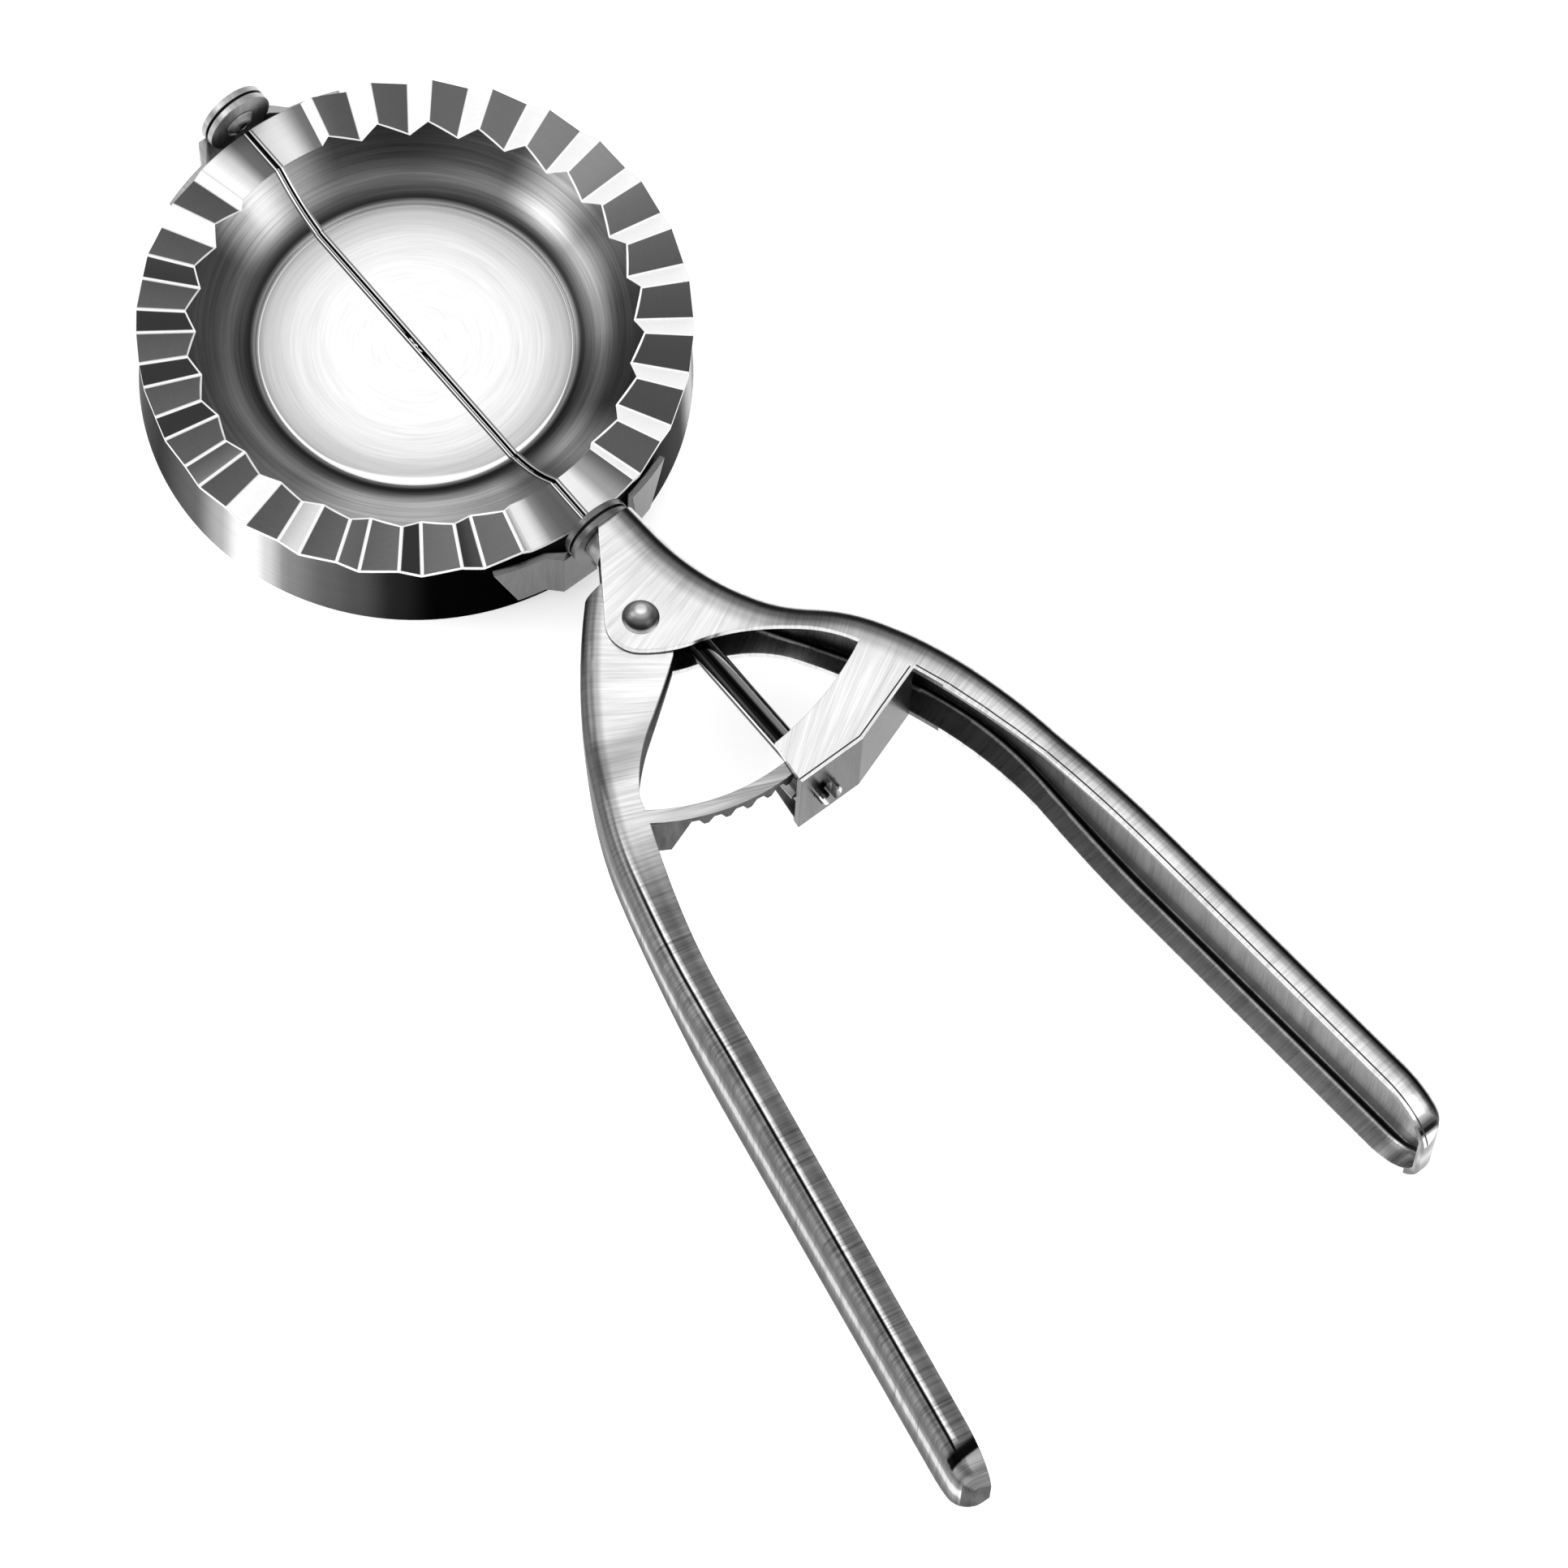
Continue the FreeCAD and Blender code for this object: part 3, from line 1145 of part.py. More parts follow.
def spring_path():
    """Middle line of the return spring: hooked leg, coil and lever leg."""
    radius = S["coil_radius"].value
    pitch = S["coil_pitch"].value
    quarter = HALF_TURN / 2
    last_angle = S["lever_leg_heading"].value + quarter
    sweep = FULL_TURN * S["coil_turns"].value + quarter - last_angle
    rise = pitch * sweep / FULL_TURN
    centre = Vector(rivet[0].value, rivet[1].value, S["axis_height"].value - rise / 2)
    spans = round(sweep / quarter)
    stations = []
    for index in range(spans + 1):
        turned = sweep * index / spans
        angle = math.radians(quarter - turned)
        across, sideways = radius * math.cos(angle), radius * math.sin(angle)
        place = centre + Vector(across, sideways, pitch * turned / FULL_TURN)
        slope = pitch / (math.tau * radius) if 0 < index < spans else 0
        heading = Vector(math.sin(angle), -math.cos(angle), slope)
        stations.append((place, heading.normalize()))
    coil = []
    for first, last in zip(stations[:-1], stations[1:]):
        coil += biarc(*first, *last)
    up = Vector(0, 0, 1)
    coil_start, along = stations[0]
    corner = coil_start - along * S["fixed_leg_length"].value
    bend = S["leg_bend_radius"].value
    hook_end = corner - up * bend
    leg_start = corner + along * bend
    hook = [
        Part.makeLine(corner - up * S["leg_hook"].value, hook_end),
        arc_about(hook_end, corner, leg_start),
        Part.makeLine(leg_start, coil_start),
    ]
    coil_end, away = stations[-1]
    lever_leg = [Part.makeLine(coil_end, coil_end + away * S["lever_leg_length"].value)]
    return hook + coil + lever_leg


def least_gap(edges, wire_width, step, skip):
    """Least air between turns, measured on points a step apart and over a skip apart."""
    points = []
    for edge in edges:
        count = max(2, math.ceil(edge.Length / step) + 1)
        points += edge.discretize(count)[:-1]
    least = math.inf
    for index, point in enumerate(points):
        for other in points[index + round(skip / step):]:
            least = min(least, point.distanceToPoint(other))
    return least - wire_width


def return_spring():
    """Torsion spring round the sleeve: one unbroken wire."""
    path = spring_path()
    start = path[0].valueAt(path[0].FirstParameter)
    section = Part.Wire(Part.makeCircle(S["wire_radius"].value, start, Vector(0, 0, 1)))
    shell = Part.BRepOffsetAPI.MakePipeShell(Part.Wire(path))
    shell.add(section)
    shell.build()
    shell.makeSolid()
    spring = doc.addObject("Part::Feature", "return_spring")
    spring.Shape = shell.shape()
    half_turn_length = math.pi * S["coil_radius"].value
    gap = least_gap(path, S["wire_radius"].value * 2, S["wire_radius"].value, half_turn_length)
    print("return_spring least gap to itself: %.3f mm" % gap)
    return node("return_spring", spring)


def export_nodes():
    """Check every object and write each piece to its own file."""
    doc.recompute()
    for item in doc.Objects:
        if "Invalid" in item.State or "Error" in item.State:
            raise RuntimeError("%s did not compute: %s" % (item.Label, item.State))
    os.makedirs("parts", exist_ok=True)
    for item in NODES:
        shape = item.Shape
        if shape.isNull() or not shape.isValid():
            raise RuntimeError("%s has no valid shape" % item.Label)
        if len(shape.Solids) != 1:
            raise RuntimeError("%s has %d solids" % (item.Label, len(shape.Solids)))
        shape.exportStep(os.path.join("parts", item.Label + ".step"))
        box = shape.BoundBox
        print("%-20s %9.2f mm3  x %7.2f %7.2f  y %7.2f %7.2f  z %6.2f %6.2f" % (
            item.Label, shape.Volume, box.XMin, box.XMax, box.YMin, box.YMax, box.ZMin, box.ZMax))


shaft_bore = S["shaft_radius"] + S["running_gap"]
shaft_seat = S["shaft_radius"] + S["fixed_gap"]
nose_bore = S["nose_shank_radius"] + S["running_gap"]
nose_seat = S["nose_shank_radius"] + S["fixed_gap"]
pivot_bore = S["pivot_radius"] + S["running_gap"]

mould_dish("fixed_mould_dish", False)
mould_dish("moving_mould_dish", True)
cutter_skirt("fixed_cutter_skirt", False)
cutter_skirt("moving_cutter_skirt", True)
ear("moving_neck_ear", inner_ear_place, -1, shaft_seat, False)
ear("fixed_neck_ear", outer_ear_place, 1, shaft_bore, False)
ear("fixed_nose_ear", inner_ear_place, -1, nose_seat, True)
ear("moving_nose_ear", outer_ear_place, 1, nose_bore, True)
nose_rivet()
washer_place = inner_ear_outside + S["seat_gap"]
ring("neck_washer", washer_place, S["washer_radius"], shaft_bore, S["washer_wall"])
ring("nose_washer", washer_place, S["washer_radius"], nose_bore, S["washer_wall"], True)
ring("neck_bush", neck_place + S["seat_gap"], S["bush_radius"], shaft_bore, S["bush_length"])
ring("shaft_thrust_washer", web_inside - S["seat_gap"] - S["washer_wall"], S["thrust_radius"], shaft_bore,
     S["washer_wall"])
drive_shaft()
pinion()
fixed_handle()
lever_handle()
pivot_rivet()
washer_lift = lever_neck_half_height + S["seat_gap"]
upright_ring("near_pivot_washer", S["axis_height"] + washer_lift, S["pivot_washer_radius"], pivot_bore,
             S["pivot_washer_wall"])
upright_ring("far_pivot_washer", S["axis_height"] - washer_lift - S["pivot_washer_wall"],
             S["pivot_washer_radius"], pivot_bore, S["pivot_washer_wall"])
sleeve_half = lever_neck_half_height - S["sheet_wall"] - S["seat_gap"]
upright_ring("spring_sleeve", S["axis_height"] - sleeve_half, S["sleeve_radius"], pivot_bore,
             sleeve_half * 2)
return_spring()
export_nodes()
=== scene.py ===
"""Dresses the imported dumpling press: steel finishes, pressed mould halves, studio and camera."""

import json
import logging
import math
from dataclasses import dataclass
from enum import Enum, IntEnum
from typing import Any, NamedTuple, Sequence

import bpy
from mathutils import Matrix, Vector

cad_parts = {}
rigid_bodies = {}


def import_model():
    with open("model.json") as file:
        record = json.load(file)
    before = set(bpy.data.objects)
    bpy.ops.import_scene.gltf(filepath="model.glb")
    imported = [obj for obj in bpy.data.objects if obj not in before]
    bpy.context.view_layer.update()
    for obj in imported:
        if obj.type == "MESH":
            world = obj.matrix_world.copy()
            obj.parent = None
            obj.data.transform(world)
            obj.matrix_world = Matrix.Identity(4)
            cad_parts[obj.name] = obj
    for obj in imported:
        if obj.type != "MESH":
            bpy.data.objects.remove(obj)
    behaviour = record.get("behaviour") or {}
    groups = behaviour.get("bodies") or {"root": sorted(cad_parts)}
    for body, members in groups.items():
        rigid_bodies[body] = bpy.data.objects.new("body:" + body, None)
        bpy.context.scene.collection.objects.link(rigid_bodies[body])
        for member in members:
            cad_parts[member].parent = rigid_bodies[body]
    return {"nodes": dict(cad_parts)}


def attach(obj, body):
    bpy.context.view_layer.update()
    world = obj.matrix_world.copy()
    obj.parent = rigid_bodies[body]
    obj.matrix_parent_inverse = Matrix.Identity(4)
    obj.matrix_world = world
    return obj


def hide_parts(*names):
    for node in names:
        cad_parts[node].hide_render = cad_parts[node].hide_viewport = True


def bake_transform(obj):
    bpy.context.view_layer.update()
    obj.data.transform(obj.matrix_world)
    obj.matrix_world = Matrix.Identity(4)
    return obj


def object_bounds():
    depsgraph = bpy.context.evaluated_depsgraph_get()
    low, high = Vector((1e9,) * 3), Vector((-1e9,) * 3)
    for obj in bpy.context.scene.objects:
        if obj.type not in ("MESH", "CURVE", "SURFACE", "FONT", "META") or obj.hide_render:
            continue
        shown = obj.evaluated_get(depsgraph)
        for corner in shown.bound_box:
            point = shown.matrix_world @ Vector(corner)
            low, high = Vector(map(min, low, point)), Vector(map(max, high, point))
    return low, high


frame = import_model()
cad_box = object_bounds()

logging.basicConfig(level=logging.INFO, format="%(message)s")
log = logging.getLogger("dumpling_press")

Place = tuple[float, float]
Span = tuple[float, float]
Tones = tuple[tuple[float, float], ...]

MM = 0.001
QUARTER_TURN = 90.0
HALF_TURN = 180.0
FULL_TURN = 360.0

SHAFT_LEVEL = 16.2
PIVOT = (62.7, -5.6)

NOISE_SPREAD = 5.0
LINE_SOFTNESS = 0.3
# Half the width, in millimetres, of the painted lines along the mould's split, and the tones across them:
# painted shade in the gap between two painted highlights, each with a darker outline.
SPLIT_REACH = 0.87
SPLIT_PROFILE = (
    (0.0, 0.3), (0.155, 0.3), (0.19, 1.0), (0.27, 1.0), (0.305, 0.03), (0.695, 0.03), (0.73, 0.95),
    (0.81, 0.95), (0.845, 0.5), (1.0, 0.5),
)


class Grain(Enum):
    """The way a sheet was brushed."""

    ACROSS = "across the handle"
    ROUND = "round the mould"
    NONE = "polished"


class Half(Enum):
    """The two halves of the mould, by the side of the shaft's line they lie on."""

    FIXED = 1.0
    MOVING = -1.0


class Surface(IntEnum):
    """The surfaces of a dish, by their material slots."""

    WALL = 0
    FLOOR = 1
    FACET = 2
    RISER = 3
    # Painted highlight on the sheet's edge round the rim.
    OUTLINE = 4
    # Painted shade on the faces at the split.
    CUT = 5


@dataclass(frozen=True)
class Rim:
    """Sizes that the pleated rim's sheet and its finish share, in millimetres and degrees."""

    level: float = 15.6
    inner: float = 34.4
    wall_slope: float = 43.0
    pleats: int = 12
    pitch: float = 12.85
    ramp: float = 8.2

    @property
    def wall_run(self) -> float:
        """Run of the bowl's wall for each millimetre that it rises."""
        return 1 / math.tan(math.radians(self.wall_slope))


RIM = Rim()


def linear(tone: float) -> float:
    """Light that shows as a tone between black, 0, and white, 1."""
    return ((tone + 0.055) / 1.055) ** 2.4 if tone > 0.04 else tone / 12.92


def heading_of(start: Place, end: Place) -> float:
    """Direction from one point to another, in radians from +X."""
    return math.atan2(end[1] - start[1], end[0] - start[0])


def direction(azimuth: float, elevation: float) -> Vector:
    """Unit vector with an azimuth from +X and an elevation, both in degrees."""
    around, up = math.radians(azimuth), math.radians(elevation)
    return Vector((math.cos(up) * math.cos(around), math.cos(up) * math.sin(around), math.sin(up)))


@dataclass(frozen=True)
class Value:
    """A socket that a node gives out, joined to others by ordinary arithmetic."""

    tree: "Tree"
    socket: bpy.types.NodeSocket

    def _math(self, operation: str, *operands: Any) -> "Value":
        """Add one Math node.

        Args:
            operation: Blender's name for the operation.
            operands: values or numbers, in the node's order.

        Returns:
            The node's result.
        """
        return self.tree.node("ShaderNodeMath", {"operation": operation}, dict(enumerate(operands)))

    def __add__(self, other: Any) -> "Value":
        """Sum."""
        return self._math("ADD", self, other)

    __radd__ = __add__

    def __sub__(self, other: Any) -> "Value":
        """Difference."""
        return self._math("SUBTRACT", self, other)

    def __rsub__(self, other: Any) -> "Value":
        """Difference from a number."""
        return self._math("SUBTRACT", other, self)

    def __mul__(self, other: Any) -> "Value":
        """Product."""
        return self._math("MULTIPLY", self, other)

    __rmul__ = __mul__

    def __truediv__(self, other: Any) -> "Value":
        """Quotient."""
        return self._math("DIVIDE", self, other)

    def __pow__(self, other: Any) -> "Value":
        """Power."""
        return self._math("POWER", self, other)

    def angle_from(self, run: "Value") -> "Value":
        """Angle, in radians, of the direction with this rise and the given run."""
        return self._math("ARCTAN2", self, run)

    def distance(self, rise: "Value") -> "Value":
        """Length of the line with this run and the given rise."""
        return (self * self + rise * rise) ** 0.5

    def size(self) -> "Value":
        """The value without its sign."""
        return self._math("ABSOLUTE", self)

    def above(self, limit: float) -> "Value":
        """One where the value is above a limit, and zero elsewhere."""
        return self._math("GREATER_THAN", self, limit)

    def fraction(self) -> "Value":
        """What is left over the whole number below the value."""
        return self._math("FRACT", self)

    def least(self, other: Any) -> "Value":
        """The smaller of two values."""
        return self._math("MINIMUM", self, other)

    def toward(self, other: Any, share: Any) -> "Value":
        """This value blended into another by a share from 0 to 1."""
        return self * (1.0 - share) + share * other

    def ease(self, low: float, high: float) -> "Value":
        """Soft step.

        Args:
            low: where the step starts at 0.
            high: where it reaches 1.

        Returns:
            A value from 0 to 1.
        """
        inputs = {"Value": self, "From Min": low, "From Max": high}
        return self.tree.node("ShaderNodeMapRange", {"interpolation_type": "SMOOTHSTEP"}, inputs)

    def within(self, width: float) -> "Value":
        """One below a width and zero above it, with a soft change."""
        return 1.0 - self.ease(width * (1 - LINE_SOFTNESS), width * (1 + LINE_SOFTNESS))

    def ramp(self, stops: Tones, reach: float = 1.0) -> "Value":
        """Read a curve of tones.

        Args:
            stops: pairs of place, from 0 to the reach, and tone.
            reach: the place where the curve ends.

        Returns:
            The tone at this value.
        """
        shares = tuple((place / reach, tone) for place, tone in stops)
        return self.tree.node("ShaderNodeValToRGB", {"stops": shares}, {"Fac": self / reach})

    def round_ramp(self, run: "Value", stops: Tones) -> "Value":
        """Read a curve of tones by the direction with this rise and the given run.

        Args:
            run: the direction's part along +X.
            stops: pairs of angle, from -180 to 180 degrees, and tone.

        Returns:
            The tone at that angle.
        """
        turn = self.angle_from(run) * math.degrees(1.0) + HALF_TURN
        return turn.ramp(tuple((angle + HALF_TURN, tone) for angle, tone in stops), FULL_TURN)


def turned(x: Value, y: Value, origin: Place, heading: float) -> tuple[Value, Value]:
    """Measure a place from a line.

    Args:
        x, y: the place in millimetres.
        origin: where the line starts.
        heading: the line's direction in radians.

    Returns:
        How far the place is ahead along the line, and how far to the left of it.
    """
    run, rise = x - origin[0], y - origin[1]
    ahead = run * math.cos(heading) + rise * math.sin(heading)
    left = rise * math.cos(heading) - run * math.sin(heading)
    return ahead, left


def least_of(values: Sequence[Value]) -> Value:
    """The smallest of several values."""
    smallest = values[0]
    for value in values[1:]:
        smallest = smallest.least(value)
    return smallest


class Tree:
    """The node tree of a new material or world."""

    def __init__(self, owner: bpy.types.ID) -> None:
        """Start an empty tree in this material or world."""
        owner.use_nodes = True
        self.owner = owner
        self.nodes = owner.node_tree.nodes
        self.links = owner.node_tree.links
        self.nodes.clear()

    def node(self, kind: str, settings: dict[str, Any], inputs: dict[Any, Any], output: Any = 0) -> Value:
        """Add a node.

        Args:
            kind: Blender's type of node.
            settings: properties to set first; "stops" gives a ramp's places and tones.
            inputs: values, numbers or tuples by socket name or index.
            output: name or index of the socket that is wanted.

        Returns:
            That output as a value.
        """
        node = self.nodes.new(kind)
        for name, setting in settings.items():
            if name == "stops":
                self._set_stops(node.color_ramp, setting)
            else:
                setattr(node, name, setting)
        for name, given in inputs.items():
            if isinstance(given, Value):
                self.links.new(given.socket, node.inputs[name])
            else:
                node.inputs[name].default_value = given
        return Value(self, node.outputs[output]) if len(node.outputs) else None

    @staticmethod
    def _set_stops(ramp: bpy.types.ColorRamp, stops: Tones) -> None:
        """Write a ramp's places and tones.

        Args:
            ramp: the ramp to write.
            stops: pairs of place, from 0 to 1, and tone.
        """
        ramp.interpolation = "EASE"
        while len(ramp.elements) < len(stops):
            ramp.elements.new(0.5)
        for element, (place, tone) in zip(ramp.elements, stops):
            element.position = place
            element.color = (linear(tone), linear(tone), linear(tone), 1.0)

    def parts(self, vector: Value) -> tuple[Value, ...]:
        """Split a vector into its three values."""
        split = self.node("ShaderNodeSeparateXYZ", {}, {"Vector": vector}).socket.node
        return tuple(Value(self, output) for output in split.outputs)

    def point(self, x: Any, y: Any, z: Any) -> Value:
        """Join three values into a vector."""
        return self.node("ShaderNodeCombineXYZ", {}, {"X": x, "Y": y, "Z": z})

    def place(self) -> tuple[Value, ...]:
        """The three coordinates of a point on the piece, in millimetres."""
        spot = self.node("ShaderNodeTexCoord", {}, {}, "Object")
        return self.parts(self.node("ShaderNodeMapping", {}, {"Vector": spot, "Scale": (1 / MM,) * 3}))

    def finished(self, inputs: dict[str, Any]) -> bpy.types.Material:
        """End the tree with a surface of these inputs, and give its material."""
        surface = self.node("ShaderNodeBsdfPrincipled", {}, inputs)
        self.node("ShaderNodeOutputMaterial", {}, {"Surface": surface})
        return self.owner


class Layer(NamedTuple):
    """One layer of brush lines or clouds: its share, and how close it runs along, across and up.

    Along is counted in lines of the finish's own streak.
    """

    share: float
    along: float
    across: float
    up: float


ROUND_LINES = (Layer(0.6, 1.0, 1.3, 1.0),)
ROUND_FUZZ = (Layer(0.4, 3.0, 2.0, 3.0),)
LONG_LAYERS = (Layer(0.55, 1.0, 0.09, 0.09), Layer(0.45, 3.5, 0.3, 0.3))
CHANNEL_LAYERS = (Layer(0.3, 0.2475, 1.0, 0.02), Layer(0.4, 1.0, 1.0, 0.05), Layer(0.3, 3.2, 3.0, 0.1))
CLOUDS = (Layer(1.0, 0.36, 0.8, 0.8),)


@dataclass(frozen=True)
class Steel:
    """A stainless finish: how light it is, how rough, and how it was brushed.

    Lengths are in millimetres, and the brush's heading is in degrees from +X.
    """

    name: str
    tone: float = 0.8
    roughness: float = 0.24
    roughness_swing: float = 0.16
    grain: Grain = Grain.ACROSS
    heading: float = 0.0
    streak: float = 0.45
    contrast: float = 0.3
    depth: float = 0.05
    groove: float = 0.1
    corner: float = 0.25
    # Reach, in millimetres, of the painted shade in crevices, and the span of ambient occlusion that it
    # darkens over.
    crevice_shade: float = 0.0
    crevice_light: Span = (0.1, 0.75)
    metal: float = 1.0
    edge_tint: float = 1.0
    # Half width, in millimetres, of the painted highlights and painted shade along the mould's split.
    split_line: float = 0.0
    gloss: float = 0.5

    def layered(self, layers: Sequence[Layer], along: Value, across: Value, up: Value) -> Value:
        """Mix layers of stretched noise.

        Args:
            layers: the layers.
            along, across, up: the place to read them at.

        Returns:
            Their sum by their shares.
        """
        tree, mixed = up.tree, 0.0
        for layer in layers:
            spot = tree.point(along * (layer.along / self.streak), across * layer.across, up * layer.up)
            inputs = {"Vector": spot, "Scale": 1.0, "Detail": 2.0, "Roughness": 0.6}
            mixed = tree.node("ShaderNodeTexNoise", {}, inputs) * layer.share + mixed
        return mixed

    def streaks(self, x: Value, y: Value, z: Value) -> Value:
        """Brush lines of this finish.

        Args:
            x, y, z: the point's place in millimetres.

        Returns:
            A value about 0.5 that varies over the brush lines.
        """
        if self.grain is Grain.NONE:
            return self.layered(CLOUDS, x, y, z)
        if self.grain is Grain.ROUND:
            radius, turn, up = x.distance(y), y.angle_from(x), z * (1 / self.streak)
            lines = self.layered(ROUND_LINES, radius, turn.size(), up)
            return lines + self.layered(ROUND_FUZZ, radius, turn, up)
        along, across = turned(x, y, (0.0, 0.0), math.radians(self.heading))
        return self.layered(LONG_LAYERS, along, across, z)

    def shade(self, x: Value, y: Value, z: Value) -> Any:
        """Light of the sheet before its brush lines: its own tone here, and painted light and shade in the
        finishes that replace this.

        Args:
            x, y, z: the point's place in millimetres; not used by this plain tone.

        Returns:
            The light at that point, a value or a number.
        """
        return linear(self.tone)

    def material(self) -> bpy.types.Material:
        """Give the finish as a material, made on first use.

        Returns:
            The material of this finish's name.
        """
        if self.name in bpy.data.materials:
            return bpy.data.materials[self.name]
        tree = Tree(bpy.data.materials.new(self.name))
        x, y, z = tree.place()
        lines = self.streaks(x, y, z)
        wave = (lines - 0.5) * (NOISE_SPREAD * self.contrast)
        tone = (wave + 1.0) * self.shade(x, y, z)
        # Painted highlights and painted shade across the mould's split.
        if self.split_line:
            across = (y / (2 * self.split_line) + 0.5).ramp(SPLIT_PROFILE)
            tone = tone.toward(across, 1.0 - y.size().above(self.split_line))
        # Painted shade, darker where ambient occlusion finds a crevice.
        if self.crevice_shade:
            inputs = {"Distance": self.crevice_shade * MM}
            open_air = tree.node("ShaderNodeAmbientOcclusion", {"samples": 8}, inputs, "AO")
            tone = tone * open_air.ease(*self.crevice_light)
        rounded = tree.node("ShaderNodeBevel", {"samples": 4}, {"Radius": self.corner * MM})
        bump = {"Strength": self.depth, "Distance": self.groove * MM, "Height": lines, "Normal": rounded}
        inputs = {
            "Base Color": tree.point(tone, tone, tone),
            "Metallic": self.metal,
            "Roughness": (lines - 0.5) * self.roughness_swing + self.roughness,
            "Specular IOR Level": self.gloss,
            "Specular Tint": (self.edge_tint, self.edge_tint, self.edge_tint, 1.0),
            "Normal": tree.node("ShaderNodeBump", {}, bump),
        }
        return tree.finished(inputs)


@dataclass(frozen=True)
class BandedSteel(Steel):
    """Polished steel of a ring, with painted reflections in soft light and dark stripes round it."""

    reflection_bands: Tones = ()

    def shade(self, x: Value, y: Value, z: Value) -> Any:
        """Painted reflection by the angle round the mould."""
        return y.round_ramp(x, self.reflection_bands)


@dataclass(frozen=True)
class RimSteel(BandedSteel):
    """Pressed steel of the pleated rim, with painted highlights along its folds."""

    # Widths of the painted highlights along the folds and along the rim's inner edge.
    fold_highlight: float = 0.26
    inner_highlight: float = 0.24
    # Share of painted shade across each pleat.
    lean: float = 0.3
    end_trim: float = 0.1

    def shade(self, x: Value, y: Value, z: Value) -> Any:
        """Paint shade across each pleat over the painted reflections, and a painted highlight along every
        fold and the rim's inner edge.
        """
        radius = x.distance(y)
        degrees = y.angle_from(x) * math.degrees(1.0)
        from_middle = degrees - (y.above(0.0) * 2.0 - 1.0) * QUARTER_TURN
        phase = (from_middle / RIM.pitch).fraction()
        tone = super().shade(x, y, z) * (phase * self.lean + (1.0 - self.lean / 2))
        off_fold = ((phase - 0.5).size() - RIM.ramp / RIM.pitch / 2).size()
        fold = (off_fold * radius * math.radians(RIM.pitch)).within(self.fold_highlight)
        inner = (radius - (z - RIM.level) * RIM.wall_run - RIM.inner).within(self.inner_highlight)
        pleated = 1.0 - from_middle.size().above((RIM.pleats - self.end_trim) * RIM.pitch / 2)
        line = (1.0 - (1.0 - fold) * (1.0 - inner)) * pleated
        return tone.toward(1.0, line)


@dataclass(frozen=True)
class RodSteel(Steel):
    """Polished steel of a rod, with a painted reflection: dark down its middle and light along its sides.
    """

    level: float = SHAFT_LEVEL
    radius: float = 2.0
    # Direction, in degrees round the rod, that the painted dark middle faces.
    lean: float = 107.5
    # Tones of the painted reflection across the rod, from side to side.
    section: Tones = (
        (0.0, 0.05), (0.06, 0.1), (0.12, 1.0), (0.2, 0.9), (0.27, 0.4), (0.36, 0.1), (0.5, 0.02),
        (0.6, 0.06), (0.7, 0.45), (0.8, 0.62), (0.86, 1.0), (0.93, 0.9), (1.0, 0.1),
    )

    def shade(self, x: Value, y: Value, z: Value) -> Any:
        """Painted reflection by the place across the rod."""
        across, _ = turned(y, z, (0.0, self.level), math.radians(self.lean - QUARTER_TURN))
        return (across / (2 * self.radius) + 0.5).ramp(self.section)


@dataclass(frozen=True)
class DomeSteel(Steel):
    """Polished steel of a rivet's dome, with a painted highlight off its middle and a painted rim light
    behind it.
    """

    centre: Place = PIVOT
    spot: Place = (62.2, -5.2)
    radius: float = 2.85
    # Painted highlight round the spot, and painted rim light on the far side.
    glint: Tones = ((0.0, 1.0), (0.2, 1.0), (0.42, 0.62), (0.7, 0.38), (1.0, 0.2))
    rim: Tones = ((0.0, 0.0), (0.84, 0.0), (0.92, 0.7), (1.0, 0.9))
    rim_side: Place = (0.8, -0.6)
    rim_reach: Span = (0.1, 0.8)

    def shade(self, x: Value, y: Value, z: Value) -> Any:
        """Painted light by the distance from the highlight, with the painted rim light on the other side.
        """
        glint_gap = (x - self.spot[0]).distance(y - self.spot[1]) / self.radius
        run, rise = (x - self.centre[0]) / self.radius, (y - self.centre[1]) / self.radius
        away = run * self.rim_side[0] + rise * self.rim_side[1]
        return glint_gap.ramp(self.glint) + run.distance(rise).ramp(self.rim) * away.ease(*self.rim_reach)


@dataclass(frozen=True)
class BowlSteel(Steel):
    """Brushed steel of the bowl, with painted light and shade in rings, painted reflections in patches,
    and a painted highlight along the floor's edge.
    """

    # Painted light and shade by radius, painted reflections in patches, and a painted highlight along the
    # floor's edge.
    rings: Tones = ()
    reach: float = 45.0
    patches: Tones = ()
    patch_start: Span = (26.0, 30.0)
    patch_end: Span = (33.5, 37.0)
    patch_fade: float = 0.4
    ring: Tones = ()
    ring_radius: float = 24.2
    ring_least: float = 0.01
    ring_softness: Span = (0.6, 1.2)

    def shade(self, x: Value, y: Value, z: Value) -> Any:
        """Painted light and shade by the radius, lifted by painted reflections where a patch lies and by a
        painted highlight along the floor's edge.
        """
        radius = x.distance(y)
        tone = radius.ramp(self.rings, self.reach)
        if self.patches:
            fade = 1.0 - radius.ease(*self.patch_end) * self.patch_fade
            tone = tone + y.round_ramp(x, self.patches) * radius.ease(*self.patch_start) * fade
        if self.ring:
            width = y.round_ramp(x, self.ring) + self.ring_least
            line = 1.0 - ((radius - self.ring_radius).size() / width).ease(*self.ring_softness)
            tone = tone.toward(1.0, line)
        return tone


